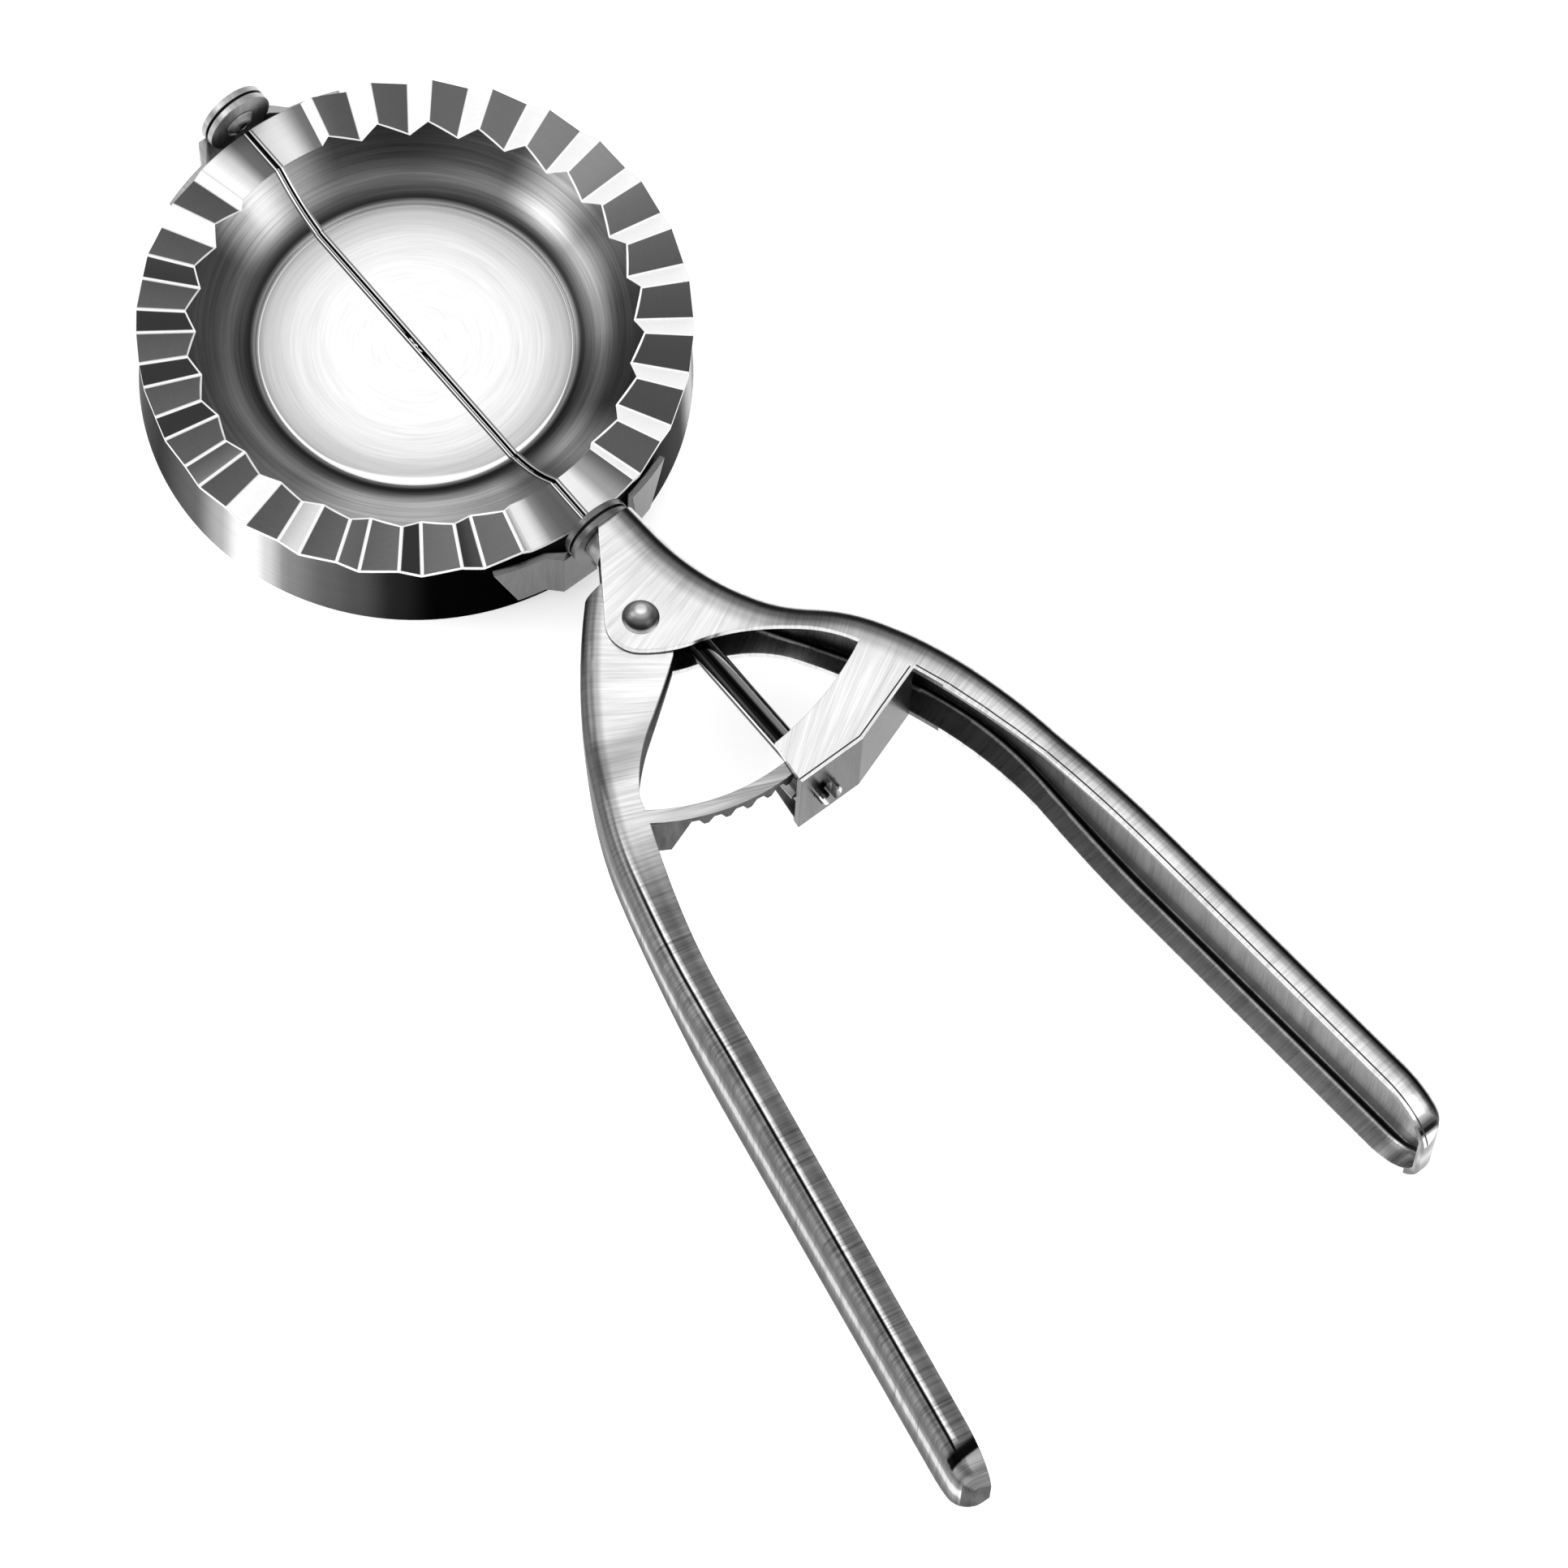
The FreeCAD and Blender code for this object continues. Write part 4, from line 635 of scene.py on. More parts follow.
@dataclass(frozen=True)
class BackEdge:
    """The line of a handle's back from above: a straight start, then arcs, then a straight grip.

    Points are in millimetres, heading is the direction of the start in degrees, and side is 1 where
    the sheet lies to the left of the line and -1 where it lies to the right.
    """

    start: Place
    heading: float
    points: tuple[Place, ...]
    tail: Place
    side: float
    end_x: float
    rounded: bool = False

    def pieces(self) -> list[tuple[Place, float, float, float]]:
        """Work out the arcs and the grip from the points.

        Returns:
            For each its start, its heading there, its curvature and its length, with the last two
            at zero for the grip.
        """
        found = []
        heading = math.radians(self.heading)
        for first, last in zip(self.points[:-1], self.points[1:]):
            turn = 2 * (heading_of(first, last) - heading)
            curve = 2 * math.sin(turn / 2) / math.dist(first, last)
            found.append((first, heading, curve, turn / curve))
            heading += turn
        found.append((self.points[-1], heading_of(self.points[-1], self.tail), 0.0, 0.0))
        return found

    def measure(self, x: Value, y: Value) -> tuple[Value, Value]:
        """Measure a point from the back.

        Args:
            x, y: the point's place in millimetres.

        Returns:
            Its distance from the back and its place along it, both in millimetres.
        """
        along, left = turned(x, y, self.start, math.radians(self.heading))
        inset = left * self.side
        travelled = math.dist(self.start, self.points[0])
        for start, heading, curve, length in self.pieces():
            ahead, left = turned(x, y, start, heading)
            part, run_along = left * self.side, ahead
            if curve:
                centre = (start[0] - math.sin(heading) / curve, start[1] + math.cos(heading) / curve)
                gap = (x - centre[0]).distance(y - centre[1])
                part = (gap - abs(1 / curve)) * (-self.side * math.copysign(1.0, curve))
                run, rise = turned(x, y, centre, heading - math.copysign(math.pi / 2, curve))
                run_along = rise.angle_from(run) * (1 / curve)
            beyond = ahead.above(0.0)
            inset = inset.toward(part, beyond)
            along = along.toward(run_along + travelled, beyond)
            travelled += length
        if self.rounded:
            inset = inset.least(self.to_end(x))
        return inset, along

    def to_end(self, x: Value) -> Value:
        """Distance from the grip's free end."""
        return (x * -1.0) + self.end_x


FIXED_BACK = BackEdge(
    start=(46.8, 5.33), heading=2.6, points=((52.7, 5.6), (76.6, 15.2), (95.6, 26.4), (115.8, 30.62)),
    tail=(196.4, 35.89), side=-1.0, end_x=200.8, rounded=True,
)
FIXED_WEB = ((100.0, -4.7), (100.0, 7.0), (95.6, 20.3))
FIXED_BRIM = FIXED_WEB + ((101.2, 22.3), (107.2, 23.9), (113.2, 25.1), (119.1, 26.0), (200.8, 31.0))
LEVER_BACK = BackEdge(
    start=(54.3, -9.6), heading=-44.8, points=((54.3, -9.6), (87.8, -32.1), (95.2, -34.7), (121.8, -41.2)),
    tail=(196.6, -55.23), side=1.0, end_x=201.4,
)


@dataclass(frozen=True)
class ChannelSteel(Steel):
    """Brushed steel of a pressed handle, with painted reflections and painted shade over its section,
    lighter and darker as on a polished channel.

    Tones over the flanges go by the distance from the back in millimetres. Those over the back go by
    the height from the middle, as a share of the handle's half height.
    """

    back: BackEdge | None = None
    level: float = SHAFT_LEVEL
    halves: tuple[tuple[float, float, float], ...] = ()
    depth_reach: float = 12.0
    # Painted reflections over the upper flange, on the grip and on the head.
    near: Tones = ()
    near_head: Tones = ()
    head_ends: Span = (60.0, 61.0)
    head_calm: float = 1.0
    # Painted shade inside the channel: its light falls to shade_depth on the head's side of shade_ends.
    shade_ends: Span = (10.0, 11.0)
    shade_depth: float = 1.0
    # Painted light and shade on the faces that look into the channel.
    far: Tones = ()
    # Painted reflections on the back's outside, and painted shade on its inside.
    outer_back: Tones = ()
    outer_head: Tones = ()
    inner_back: Tones = ()
    back_wall: float = 0.75
    # Painted shade at the grip's closed end.
    end_cap: Tones = ()
    cap_reach: float = 4.3
    edge_start: float = 2.6
    # Painted light of the sheet's cut edges.
    cut_edge: float = 0.9
    facing: Span = (0.05, 0.3)
    # The open edges, each with a painted dark line along it on the upper flange.
    brims: tuple[tuple[Place, Place], ...] = ()
    brim_line: Span = (0.5, 0.75)
    brim_shade_tone: float = 0.25
    brush_slant: Span = (0.06, 0.05)

    def streaks(self, x: Value, y: Value, z: Value) -> Value:
        """Brush lines straight across the handle, wherever it bends.

        Args:
            x, y, z: the point's place in millimetres.

        Returns:
            A value about 0.5 that varies over the brush lines.
        """
        _, along = self.back.measure(x, y)
        across = y * self.brush_slant[0] + z * self.brush_slant[1]
        lines = self.layered(CHANNEL_LAYERS, along, across, z) - 0.5
        return lines * (x.ease(*self.head_ends) * (1.0 - self.head_calm) + self.head_calm) + 0.5

    def half_height(self, x: Value) -> Value:
        """Half height of the handle at a place along it."""
        start, end, rise = self.halves[0]
        height = x.ease(start, end) * rise
        for start, end, rise in self.halves[1:]:
            height = height + x.ease(start, end) * rise
        return height

    def brim_gap(self, x: Value, y: Value) -> Value:
        """Measure a point from the open edges, whose sheet lies to the left of each.

        Args:
            x, y: the point's place in millimetres.

        Returns:
            Its least distance from them.
        """
        gaps = []
        for start, end in self.brims:
            ahead, left = turned(x, y, start, heading_of(start, end))
            here = ahead.above(0.0) * (1.0 - ahead.above(math.dist(start, end)))
            gaps.append(left.size() + (1.0 - here) * self.depth_reach)
        return least_of(gaps)

    def near_tone(self, x: Value, y: Value, inset: Value, grip: Value) -> Value:
        """Painted reflections of the upper flange, with painted shade at the grip's end and a painted dark
        line along the open edges.

        Args:
            x, y: the point's place in millimetres.
            inset: its distance from the back.
            grip: 1 on the grip and 0 on the head.

        Returns:
            The light at that point.
        """
        head, hand = (inset.ramp(tones, self.depth_reach) for tones in (self.near_head, self.near))
        near = head.toward(hand, grip)
        if self.end_cap:
            to_end = self.back.to_end(x)
            closing = to_end.ramp(self.end_cap, self.depth_reach)
            near = closing.toward(near.least(closing), to_end.above(self.cap_reach))
        if self.brims:
            gap = self.brim_gap(x, y)
            line = gap.above(self.brim_line[0]) * (1.0 - gap.above(self.brim_line[1]))
            near = near.toward(linear(self.brim_shade_tone), line)
        return near

    def edge_tone(self, x: Value, y: Value, z: Value) -> Any:
        """Painted light of the sheet's cut edges and of what stands on them."""
        return linear(self.cut_edge)

    def shade(self, x: Value, y: Value, z: Value) -> Any:
        """Painted light and shade by the place on the channel's section, and by whether a face looks out
        of the channel or into it.
        """
        inset, _ = self.back.measure(x, y)
        lift = z - self.level
        share = (lift / self.half_height(x)).size()
        grip = x.ease(*self.head_ends)
        open_light = x.ease(*self.shade_ends) * (1.0 - self.shade_depth) + self.shade_depth
        near = self.near_tone(x, y, inset, grip)
        # Faces that look into the channel and the back's inside take painted shade.
        far = inset.ramp(self.far, self.depth_reach) * open_light
        outer = share.ramp(self.outer_head).toward(share.ramp(self.outer_back), grip)
        inner = share.ramp(self.inner_back) * open_light
        back = outer.toward(inner, inset.above(self.back_wall))
        back = back.toward(self.edge_tone(x, y, z), inset.above(self.edge_start))
        steep = x.tree.parts(x.tree.node("ShaderNodeTexCoord", {}, {}, "Normal"))[2]
        outward = steep * (lift.above(0.0) * 2.0 - 1.0)
        top, under = outward.ease(*self.facing), (outward * -1.0).ease(*self.facing)
        return near * top + far * under + back * (1.0 - top) * (1.0 - under)


@dataclass(frozen=True)
class FixedSteel(ChannelSteel):
    """The fixed handle's steel, with painted shade on the bracket's web."""

    web: tuple[Place, ...] = FIXED_WEB
    web_wall: float = 1.4
    web_shade_tone: float = 0.4
    web_margin: float = 0.5
    # Painted highlight along the grip edge's upper corner, with painted shade below it.
    lip_reach: float = 0.45
    lip_shade_tone: float = 0.5

    def edge_tone(self, x: Value, y: Value, z: Value) -> Any:
        """Paint shade on the bracket's web, and on the grip's edge below the painted highlight at its
        upper corner.
        """
        runs = zip(self.web[:-1], self.web[1:])
        inside = least_of([turned(x, y, start, heading_of(start, end))[1] for start, end in runs])
        grip = x.above(self.web[0][0] + self.web_margin)
        web = (1.0 - inside.above(self.web_wall)) * (1.0 - grip)
        lip = (self.half_height(x) + self.level - z).within(self.lip_reach)
        lip = 1.0 - (1.0 - lip) * grip * z.above(self.level)
        edge = lip * (linear(self.cut_edge) - linear(self.lip_shade_tone)) + linear(self.lip_shade_tone)
        return edge.toward(linear(self.web_shade_tone), web)


@dataclass(frozen=True)
class LeverSteel(ChannelSteel):
    """The lever's steel, with painted shade on its rack and lug."""

    rivet: Place = PIVOT
    rack_radius: float = 33.4
    rack_rise: float = 5.2
    rack_shade_tone: float = 0.4

    def edge_tone(self, x: Value, y: Value, z: Value) -> Any:
        """Paint shade on the teeth and the lug under the strip."""
        gap = (x - self.rivet[0]).distance(y - self.rivet[1])
        rack = gap.above(self.rack_radius) * (1.0 - z.above(self.level + self.rack_rise))
        return rack * (linear(self.rack_shade_tone) - linear(self.cut_edge)) + linear(self.cut_edge)


# Painted reflection across the outside of the fixed handle's back, from its middle to its edges.
FIXED_OUTER = ((0.0, 0.7), (0.25, 0.45), (0.6, 0.35), (0.9, 0.6), (1.0, 0.9))


class Finish:
    """All finishes of the press."""

    # Painted reflections: light and dark stripes round the skirt, by angle.
    SKIRT = BandedSteel(
        "polished_skirt", roughness=0.16, grain=Grain.ROUND, contrast=0.08, depth=0.01, edge_tint=0.12,
        metal=0.4, gloss=0.0,
        reflection_bands=(
            (-180, 0.25), (-150, 0.15), (-125, 0.18), (-105, 0.3), (-90, 0.48), (-82, 0.75), (-77, 1.0),
            (-73, 1.0), (-70, 0.85), (-65, 0.55), (-56, 0.4), (-50, 0.34), (-42, 0.18), (-34, 0.03),
            (-18, 0.02), (0, 0.3), (20, 0.25), (34, 0.35), (44, 0.9), (52, 0.45), (80, 0.15),
            (110, 0.75), (140, 0.3), (180, 0.25),
        ),
    )
    # Painted light and shade by radius on the bowl's wall, with painted reflections in patches round it.
    WALL = BowlSteel(
        "brushed_bowl_wall", roughness=0.3, grain=Grain.ROUND, streak=0.5, contrast=0.35, depth=0.03,
        split_line=SPLIT_REACH,
        rings=((0.0, 0.9), (24.6, 0.6), (25.6, 0.16), (27.0, 0.3), (28.6, 0.4), (31.5, 0.24), (36.0, 0.2)),
        patches=(
            (-180, 0.4), (-168, 0.75), (-150, 0.2), (-120, 0.22), (-100, 0.35), (-75, 0.5), (-50, 0.9),
            (-35, 0.95), (-14, 0.8), (-3, 0.4), (0, 0.3), (12, 0.65), (30, 0.05), (60, 0.15), (85, 0.4),
            (100, 0.9), (116, 0.3), (145, 0.0), (165, 0.1), (180, 0.4),
        ),
    )
    # Painted light and shade by radius on the floor, with a painted highlight along its edge.
    FLOOR = BowlSteel(
        "brushed_bowl_floor", roughness=0.3, grain=Grain.ROUND, streak=0.5, contrast=0.12, depth=0.02,
        split_line=SPLIT_REACH,
        rings=((0.0, 1.0), (12.0, 0.99), (18.0, 0.93), (22.6, 0.8), (24.7, 0.62), (30.0, 0.5)),
        ring=(
            (-180, 0.15), (-150, 0.2), (-120, 0.25), (-80, 0.55), (-38, 1.1), (0, 0.7), (40, 0.2),
            (90, 0.15), (110, 0.05), (130, 0.0), (165, 0.0), (180, 0.15),
        ),
    )
    # Painted reflections round the rim by angle, with painted shade across each pleat and painted
    # highlights along the folds.
    FACET = RimSteel(
        "rim_facet", roughness=0.3, grain=Grain.ROUND, contrast=0.05, depth=0.01, metal=0.7,
        split_line=SPLIT_REACH,
        reflection_bands=(
            (-180, 0.38), (-176, 0.42), (-172, 0.85), (-168, 1.0), (-166, 0.38), (-120, 0.42), (-60, 0.37),
            (-14, 0.37), (-13, 1.0), (-11, 0.95), (-8.5, 0.55), (-6, 0.38), (-2, 0.33), (0, 0.5), (1, 1.0),
            (4, 0.95), (7, 0.62), (13, 0.34), (32, 0.27), (45, 0.25), (58, 0.29), (71, 0.34), (84, 0.4),
            (96, 0.53), (108, 0.5), (125, 0.42), (145, 0.36), (160, 0.36), (168, 0.45), (174, 0.9),
            (180, 0.8),
        ),
    )
    # Painted reflections on the risers, by angle round the rim.
    RISER = RimSteel(
        "rim_riser", roughness=0.4, grain=Grain.ROUND, contrast=0.04, depth=0.0, metal=0.15,
        lean=0.0, gloss=0.1,
        reflection_bands=(
            (-180, 1.0), (-150, 1.0), (-147, 0.26), (-139, 0.22), (-128, 0.2), (-102, 0.2), (-92, 0.34),
            (-89, 0.42), (-87, 0.66), (-83, 1.0), (-70, 1.0), (-67, 0.76), (-62, 0.92), (-58, 0.42),
            (-46, 0.38), (-43, 0.2), (-28, 0.2), (-24, 0.32), (-14.4, 0.35), (-13.8, 1.0), (180, 1.0),
        ),
    )
    # Painted highlight: the sheet's edge round the rim is plain white.
    OUTLINE = Steel(
        "rim_edge_highlight", tone=1.0, roughness=0.4, grain=Grain.NONE, contrast=0.03, depth=0.0, metal=0.0,
    )
    # Painted shade: the faces at the split are near black.
    CUT = Steel(
        "split_face_shade", tone=0.05, roughness=0.4, grain=Grain.NONE, contrast=0.1, depth=0.0, edge_tint=0.2,
    )
    # The strap and the ears get painted shade in their crevices.
    STRAP = Steel("brushed_strap", tone=0.43, contrast=0.25, crevice_shade=1.6)
    EAR = Steel("brushed_ear", tone=0.68, roughness=0.34, heading=90.0, contrast=0.25, crevice_shade=1.6)
    # The handles' tones over their sections are painted reflections and painted shade.
    FIXED = FixedSteel(
        "brushed_fixed_handle", roughness=0.28, contrast=0.42, back=FIXED_BACK, head_calm=0.75,
        halves=((-2.0, -1.0, 4.9), (71.5, 86.5, 3.1), (101.5, 141.5, 4.5)),
        near=(
            (0.0, 0.9), (0.7, 0.85), (0.95, 0.5), (1.15, 0.05), (1.45, 0.05), (1.8, 0.3), (2.6, 0.62),
            (3.4, 0.86), (4.3, 0.93), (12.0, 0.9),
        ),
        near_head=(
            (0.0, 0.9), (0.75, 0.8), (1.05, 0.35), (1.25, 0.1), (1.6, 0.16), (2.6, 0.42), (4.0, 0.72),
            (6.0, 0.9), (12.0, 0.93),
        ),
        head_ends=(88.0, 112.0), shade_ends=(100.0, 175.0), shade_depth=0.5,
        far=((0.0, 0.0), (1.5, 0.05), (2.0, 0.74), (5.0, 0.76), (12.0, 0.6)),
        outer_back=FIXED_OUTER, outer_head=FIXED_OUTER,
        inner_back=(
            (0.0, 0.55), (0.3, 0.58), (0.42, 0.52), (0.52, 0.32), (0.66, 0.28), (0.72, 0.34),
            (0.76, 0.95), (0.8, 0.3), (0.84, 0.02), (1.0, 0.0),
        ),
        cut_edge=0.97, brims=tuple(zip(FIXED_BRIM[:-1], FIXED_BRIM[1:])),
    )
    LEVER = LeverSteel(
        "brushed_lever", roughness=0.3, contrast=0.75, edge_tint=0.5, back=LEVER_BACK, head_calm=0.45,
        halves=((-2.0, -1.0, 3.35), (71.5, 86.5, 3.1), (102.0, 132.0, 2.3)),
        near=(
            (0.0, 0.46), (1.1, 0.46), (1.35, 0.06), (1.6, 0.06), (1.9, 1.0), (2.2, 0.75), (2.6, 0.42),
            (4.0, 0.38), (5.2, 0.48),
        ),
        end_cap=((0.0, 0.5), (4.1, 0.48), (4.5, 0.03), (5.6, 0.06), (9.0, 1.0), (12.0, 1.0)),
        near_head=((0.0, 0.38), (1.5, 0.4), (2.3, 0.72), (3.4, 0.93), (12.0, 0.97)),
        head_ends=(82.0, 104.0),
        far=((0.0, 0.1), (2.0, 0.1), (2.6, 0.35), (12.0, 0.35)),
        outer_back=((0.0, 1.0), (0.06, 1.0), (0.26, 0.58), (0.55, 0.4), (0.85, 0.48), (1.0, 0.42)),
        outer_head=((0.0, 0.45), (0.3, 0.42), (0.6, 0.38), (1.0, 0.4)),
        inner_back=((0.0, 0.4), (0.6, 0.3), (0.9, 0.2), (1.0, 0.1)),
        cut_edge=0.4,
    )
    # Painted reflection along the shaft: dark down its middle, light along its sides.
    SHAFT = RodSteel("polished_shaft", roughness=0.12, grain=Grain.NONE, contrast=0.03, depth=0.0)
    # Painted highlight and painted rim light on the rivet's dome.
    RIVET = DomeSteel("polished_rivet", roughness=0.34, grain=Grain.NONE, contrast=0.05, depth=0.01)
    SMALL = Steel("turned_small_part", tone=0.6, roughness=0.3, grain=Grain.NONE, contrast=0.2)
    WIRE = Steel("drawn_spring_wire", tone=0.4, roughness=0.3, grain=Grain.NONE, contrast=0.2)


def dress(finish: Steel, *nodes: str) -> None:
    """Give every slot of some CAD nodes one finish.

    Args:
        finish: the finish to use.
        nodes: the nodes' names.
    """
    for node in nodes:
        for slot in frame["nodes"][node].material_slots:
            slot.material = finish.material()
        log.info("dressed %s with %s", node, finish.name)


def start_object(name: str) -> bpy.types.Object:
    """Name the object that was just added, and its mesh.

    Args:
        name: what both are called.

    Returns:
        The object.
    """
    made = bpy.context.view_layer.objects.active
    made.name = name
    made.data.name = name
    return made


def apply_modifier(piece: bpy.types.Object, kind: str, name: str, **settings: Any) -> None:
    """Add a modifier and apply it at once.

    Args:
        piece: the object to change.
        kind: Blender's type of modifier.
        name: what the modifier is called.
        settings: its properties.
    """
    modifier = piece.modifiers.new(name, kind)
    for key, setting in settings.items():
        setattr(modifier, key, setting)
    bpy.ops.object.modifier_apply(modifier=name)


@dataclass
class MouldDish:
    """One half of the mould: a round bowl with a pleated rim, pressed from one sheet.

    Lengths are in millimetres and angles in degrees.
    """

    half: Half
    body: str
    node: str
    rim_radius: float = 42.75
    pleat_height: float = 1.5
    pleat_lead: float = 2.2
    bowl_top_drop: float = 1.8
    floor_radius: float = 24.7
    floor_depth: float = 6.2
    floor_step: float = 0.35
    step_width: float = 0.5
    bend_width: float = 0.18
    bend_share: float = 0.85
    sheet: float = 0.8
    split_gap: float = 0.2
    columns_pleat: int = 4
    columns_plain: int = 6
    wall_rings: int = 7
    floor_ring_shares: tuple[float, ...] = (0.95, 0.7, 0.4, 0.18, 0.06, 0.015)
    middle_reach: float = 0.1
    floor_margin: float = 0.05
    facet_margin: float = 1.5
    edge_margin: float = 0.6
    edge_slope: float = 0.6
    split_reach: float = 1.5
    split_slope: float = 0.9
    smooth_angle: float = 28.0
    facet_weight: int = 80

    def fold_angles(self) -> list[Place]:
        """Place the fold lines of the half rim.

        Returns:
            Degrees from the split and height of each.
        """
        crest = self.pleat_height / 2
        folds = []
        for index in range(RIM.pleats):
            middle = QUARTER_TURN + RIM.pitch * (index - (RIM.pleats - 1) / 2)
            folds += [(middle - RIM.ramp / 2, -crest), (middle + RIM.ramp / 2, crest)]
        lead = folds[0][0] - self.pleat_lead
        return [(0.0, 0.0), (lead, 0.0)] + folds + [(HALF_TURN - lead, 0.0), (HALF_TURN, 0.0)]

    def stations(self) -> list[tuple[float, float, float]]:
        """Divide the half into columns.

        Returns:
            Angle and height of each, and how much its chord shrinks the radius.
        """
        folds = self.fold_angles()
        result = []
        for index, ((start, low), (end, high)) in enumerate(zip(folds[:-1], folds[1:])):
            plain = index in (0, len(folds) - 2)
            count = self.columns_plain if plain else self.columns_pleat
            chord = math.cos(math.radians((end - start) / 2))
            for part in (step / count for step in range(count)):
                angle = start + (end - start) * part
                shrink = 1.0 if plain else chord / math.cos(math.radians(angle - (start + end) / 2))
                result.append((angle, low + (high - low) * part, shrink))
        return result

    def profile(self) -> list[Place]:
        """Draw the sheet's upper line from the rim to the middle.

        Returns:
            Radius and height of each ring.
        """
        top_radius = RIM.inner - self.bowl_top_drop * RIM.wall_run
        top, foot = RIM.level - self.bowl_top_drop, RIM.level - self.floor_depth
        line = [(self.rim_radius, RIM.level), (RIM.inner, RIM.level), (top_radius, top)]
        slope = math.radians(RIM.wall_slope)
        turn = 2 * (math.atan2(top - foot, top_radius - self.floor_radius) - slope)
        radius = math.hypot(top - foot, top_radius - self.floor_radius) / (2 * math.sin(turn / 2))
        step = turn / self.wall_rings
        spot = Vector((top_radius, top))
        for _ in range(self.wall_rings):
            slope += step
            way = slope - step / 2
            spot = spot - Vector((math.cos(way), math.sin(way))) * (2 * radius * math.sin(step / 2))
            line.append((spot.x, spot.y))
        line.append((self.floor_radius - self.bend_width, foot - self.floor_step * self.bend_share))
        line.append((self.floor_radius - self.step_width, foot - self.floor_step))
        line += [(self.floor_radius * share, foot - self.floor_step) for share in self.floor_ring_shares]
        return line

    def build(self) -> bpy.types.Object:
        """Model the half from a circle, ring by ring, and press the pleats into it.

        Returns:
            The finished piece.
        """
        stations, line = self.stations(), self.profile()
        bpy.ops.object.select_all(action="DESELECT")
        first_radius, first_level = line[0]
        bpy.ops.mesh.primitive_circle_add(
            vertices=2 * len(stations), radius=first_radius * MM, location=(0, 0, first_level * MM),
            fill_type="NOTHING",
        )
        piece = start_object(self.node.replace("_dish", "_half"))
        bpy.ops.object.transform_apply(location=True, rotation=True, scale=True)
        bpy.ops.object.mode_set(mode="EDIT")
        for (radius, level), (next_radius, next_level) in zip(line[:-1], line[1:]):
            drop = (0.0, 0.0, (next_level - level) * MM)
            bpy.ops.mesh.extrude_edges_move(TRANSFORM_OT_translate={"value": drop})
            ratio = next_radius / radius
            centre = (0.0, 0.0, next_level * MM)
            bpy.ops.transform.resize(value=(ratio, ratio, 1.0), center_override=centre)
        bpy.ops.mesh.edge_face_add()
        bpy.ops.object.mode_set(mode="OBJECT")
        self._press(piece, stations, line)
        self._finish(piece)
        return piece

    def _press(self, piece: bpy.types.Object, stations: list, line: list[Place]) -> None:
        """Move the columns to their angles and the rim to its pleats.

        Args:
            piece: the ringed disc.
            stations: the columns of one half.
            line: the profile that the rings follow.
        """
        step = HALF_TURN / len(stations)
        rim_line = (RIM.level + line[2][1]) / 2
        for vertex in piece.data.vertices:
            radius, level = math.hypot(vertex.co.x, vertex.co.y) / MM, vertex.co.z / MM
            if radius < self.middle_reach:
                continue
            turn = math.degrees(math.atan2(vertex.co.y, vertex.co.x)) % FULL_TURN
            second, column = divmod(round(turn / step) % (2 * len(stations)), len(stations))
            angle, height, shrink = stations[column]
            if level > rim_line:
                if radius < (self.rim_radius + RIM.inner) / 2:
                    radius += height * RIM.wall_run
                radius *= shrink
                level += height
            way = math.radians(angle + second * HALF_TURN)
            vertex.co = (radius * math.cos(way) * MM, radius * math.sin(way) * MM, level * MM)
        piece.data.update()

    def _finish(self, piece: bpy.types.Object) -> None:
        """Cut the half free, give it thickness and dress it.

        Args:
            piece: the pressed disc.
        """
        side = self.half.value
        for finish in (Finish.WALL, Finish.FLOOR, Finish.FACET, Finish.RISER, Finish.OUTLINE, Finish.CUT):
            piece.data.materials.append(finish.material())
        self._paint(piece)
        bpy.ops.object.mode_set(mode="EDIT")
        bpy.ops.mesh.select_all(action="SELECT")
        cut = (0.0, self.split_gap * MM * side, 0.0)
        bpy.ops.mesh.bisect(plane_co=cut, plane_no=(0.0, side, 0.0), clear_inner=True)
        bpy.ops.object.mode_set(mode="OBJECT")
        apply_modifier(
            piece, "SOLIDIFY", "sheet", thickness=self.sheet * MM, offset=-1.0, use_even_offset=False,
            use_rim=True,
        )
        self._paint_edges(piece)
        bpy.ops.object.shade_smooth_by_angle(angle=math.radians(self.smooth_angle))
        apply_modifier(piece, "WEIGHTED_NORMAL", "flat_facets", weight=self.facet_weight, keep_sharp=True)
        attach(piece, self.body)
        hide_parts(self.node)
        log.info("modelled %s: %d faces", piece.name, len(piece.data.polygons))

    def _paint_edges(self, piece: bpy.types.Object) -> None:
        """Give the sheet's edge round the rim a painted highlight, and the faces at the split painted
        shade.

        Args:
            piece: the half with its thickness.
        """
        for polygon in piece.data.polygons:
            centre, normal = polygon.center, polygon.normal
            at_split = abs(centre.y) / MM < self.split_gap * self.split_reach
            if abs(normal.z) > self.edge_slope:
                continue
            if at_split and abs(normal.y) > self.split_slope:
                polygon.material_index = Surface.CUT
            elif math.hypot(centre.x, centre.y) / MM > self.rim_radius - self.edge_margin:
                polygon.material_index = Surface.OUTLINE

